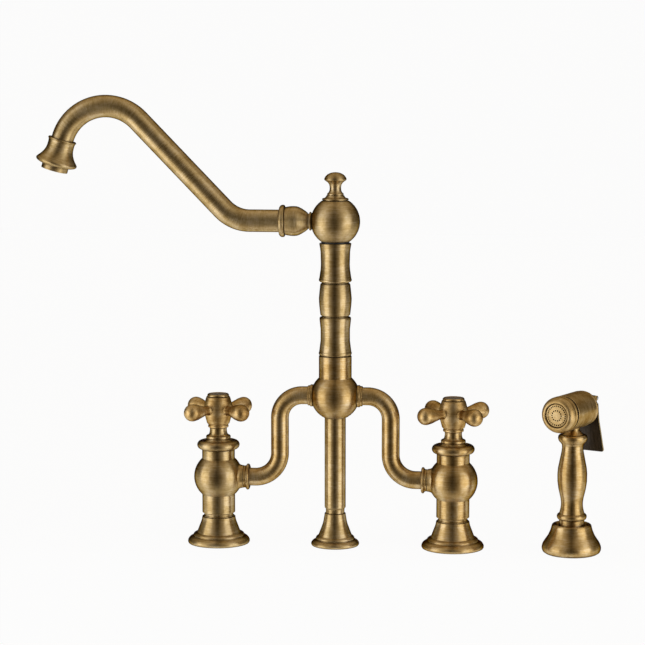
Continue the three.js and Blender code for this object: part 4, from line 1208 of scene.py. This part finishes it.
def addStage():
    left, right, front, back = (stageSet[side] for side in ("left", "right", "front", "back"))
    middle = (left + right) / 2
    bpy.ops.object.select_all(action="DESELECT")
    bpy.ops.mesh.primitive_plane_add(size=1, location=(middle, (front + back) / 2, 0))
    floor = bpy.context.object
    floor.name = "paleFloor"
    floor.scale = (right - left, back - front, 1)
    bpy.ops.object.transform_apply(location=True, rotation=True, scale=True)
    bpy.ops.object.mode_set(mode="EDIT")
    bpy.ops.mesh.select_all(action="DESELECT")
    bpy.ops.object.mode_set(mode="OBJECT")
    for edge in floor.data.edges:
        edge.select = all(floor.data.vertices[i].co.y < front + 0.001 for i in edge.vertices)
    bpy.ops.object.mode_set(mode="EDIT")
    bpy.ops.mesh.select_mode(type="EDGE")
    bpy.ops.mesh.extrude_region_move(TRANSFORM_OT_translate={"value": (0, 0, -stageSet["depth"])})
    bpy.ops.mesh.select_mode(type="VERT")
    bpy.ops.object.mode_set(mode="OBJECT")
    rounding = floor.modifiers.new("edge", "BEVEL")
    rounding.width = stageSet["round"]["width"]
    rounding.segments = stageSet["round"]["segments"]
    rounding.limit_method = "ANGLE"
    applyAll(floor)
    bpy.ops.object.shade_smooth_by_angle(angle=radians(60))
    floor.data.materials.append(paleFinish("floorPale", False))
    bpy.ops.object.select_all(action="DESELECT")
    bpy.ops.mesh.primitive_plane_add(
        size=1, location=(middle, back, stageSet["height"] / 2), rotation=(pi / 2, 0, 0)
    )
    screen = bpy.context.object
    screen.name = "paleScreen"
    screen.scale = (right - left, stageSet["height"], 1)
    bpy.ops.object.transform_apply(location=True, rotation=True, scale=True)
    screen.data.materials.append(paleFinish("screenPale", True))


addStage()

# two softboxes, in metres and watts, and the brightness of the room by direction
lightSet = {
    "softbox": {"x": 0.75, "y": -0.47, "z": 0.05, "deep": 0.77, "tall": 0.6, "power": 1.5},
    "warm": (1.0, 0.84, 0.62, 1),
    "least": 0.035,
    "side": 1.25,
    "sideAloft": 0.3,  # what is left of it high up
    "sideFades": (0.5, 0.95),
    "sideDepth": (-0.45, 0.15),  # from in front to behind
    "sideRear": 0.05,
    "overhead": 0.34,
    "overheadRise": (0.4, 0.95),
    "middleWidth": 0.4,  # the middle is less lit overhead, in front
    "middleShare": 0.25,
    "middleDepth": 0.2,
    "behind": 0.25,  # above and behind
    "behindRise": (0.25, 0.6),
    "behindDepth": (0.0, 0.5),
    "below": 0.25,
    "belowFall": (-0.95, -0.5),
}


def addSoftbox(name, side):
    box = lightSet["softbox"]
    bpy.ops.object.light_add(type="AREA", location=(side * box["x"], box["y"], box["z"]))
    lamp = bpy.context.object
    lamp.name = name
    lamp.rotation_euler = (0, radians(90) * side, 0)
    lamp.data.shape = "RECTANGLE"
    lamp.data.size = box["tall"]
    lamp.data.size_y = box["deep"]
    lamp.data.energy = box["power"]
    lamp.visible_camera = False


def addWorld():
    # white light from both sides in front, and less warm light from above, high behind and below
    world = bpy.data.worlds.new("studio")
    bpy.context.scene.world = world
    world.use_nodes = True
    tree = world.node_tree
    tree.nodes.clear()
    output = tree.nodes.new("ShaderNodeOutputWorld")
    look = addNode(tree, "TexCoord").outputs["Generated"]
    height = addNode(tree, "SeparateXYZ", {0: look}).outputs["Z"]
    flat = vectorNode(tree, "MULTIPLY", look, (1, 1, 0)).outputs[0]
    level = vectorNode(tree, "NORMALIZE", flat).outputs[0]
    compass = addNode(tree, "SeparateXYZ", {0: level})
    east, back = compass.outputs["X"], compass.outputs["Y"]

    inFront = between(tree, back, *lightSet["sideDepth"], 1.0, lightSet["sideRear"])
    fading = between(tree, height, *lightSet["sideFades"], lightSet["side"], lightSet["sideAloft"])
    sideways = mathNode(tree, "MULTIPLY", east, east)
    sideways = mathNode(tree, "MULTIPLY", sideways, inFront)
    sideways = mathNode(tree, "MULTIPLY", sideways, fading)

    width, share, depth = lightSet["middleWidth"], lightSet["middleShare"], lightSet["middleDepth"]
    aside = mathNode(
        tree,
        "MAXIMUM",
        between(tree, east, 0.0, width, share, 1.0),
        between(tree, east, -width, 0.0, 1.0, share),
    )
    aside = mathNode(tree, "MAXIMUM", aside, between(tree, back, -depth, depth))
    above = between(tree, height, *lightSet["overheadRise"], 0.0, lightSet["overhead"])
    above = mathNode(tree, "MULTIPLY", above, aside)
    above = mathNode(tree, "ADD", above, lightSet["least"])
    below = between(tree, height, *lightSet["belowFall"], lightSet["below"], 0.0)
    behind = between(tree, height, *lightSet["behindRise"], 0.0, lightSet["behind"])
    behind = mathNode(tree, "MULTIPLY", behind, between(tree, back, *lightSet["behindDepth"]))
    ambient = mathNode(tree, "ADD", mathNode(tree, "ADD", above, below), behind)

    colour = mixColour(tree, sideways, lightSet["warm"], (1, 1, 1, 1))
    strength = mathNode(tree, "ADD", ambient, sideways)
    shine = addNode(tree, "Background", {"Color": colour, "Strength": strength})
    tree.links.new(shine.outputs[0], output.inputs["Surface"])


addSoftbox("leftSoftbox", -1)
addSoftbox("rightSoftbox", 1)
addWorld()
bpy.context.scene.view_settings.view_transform = "Standard"
print("stage and light done")
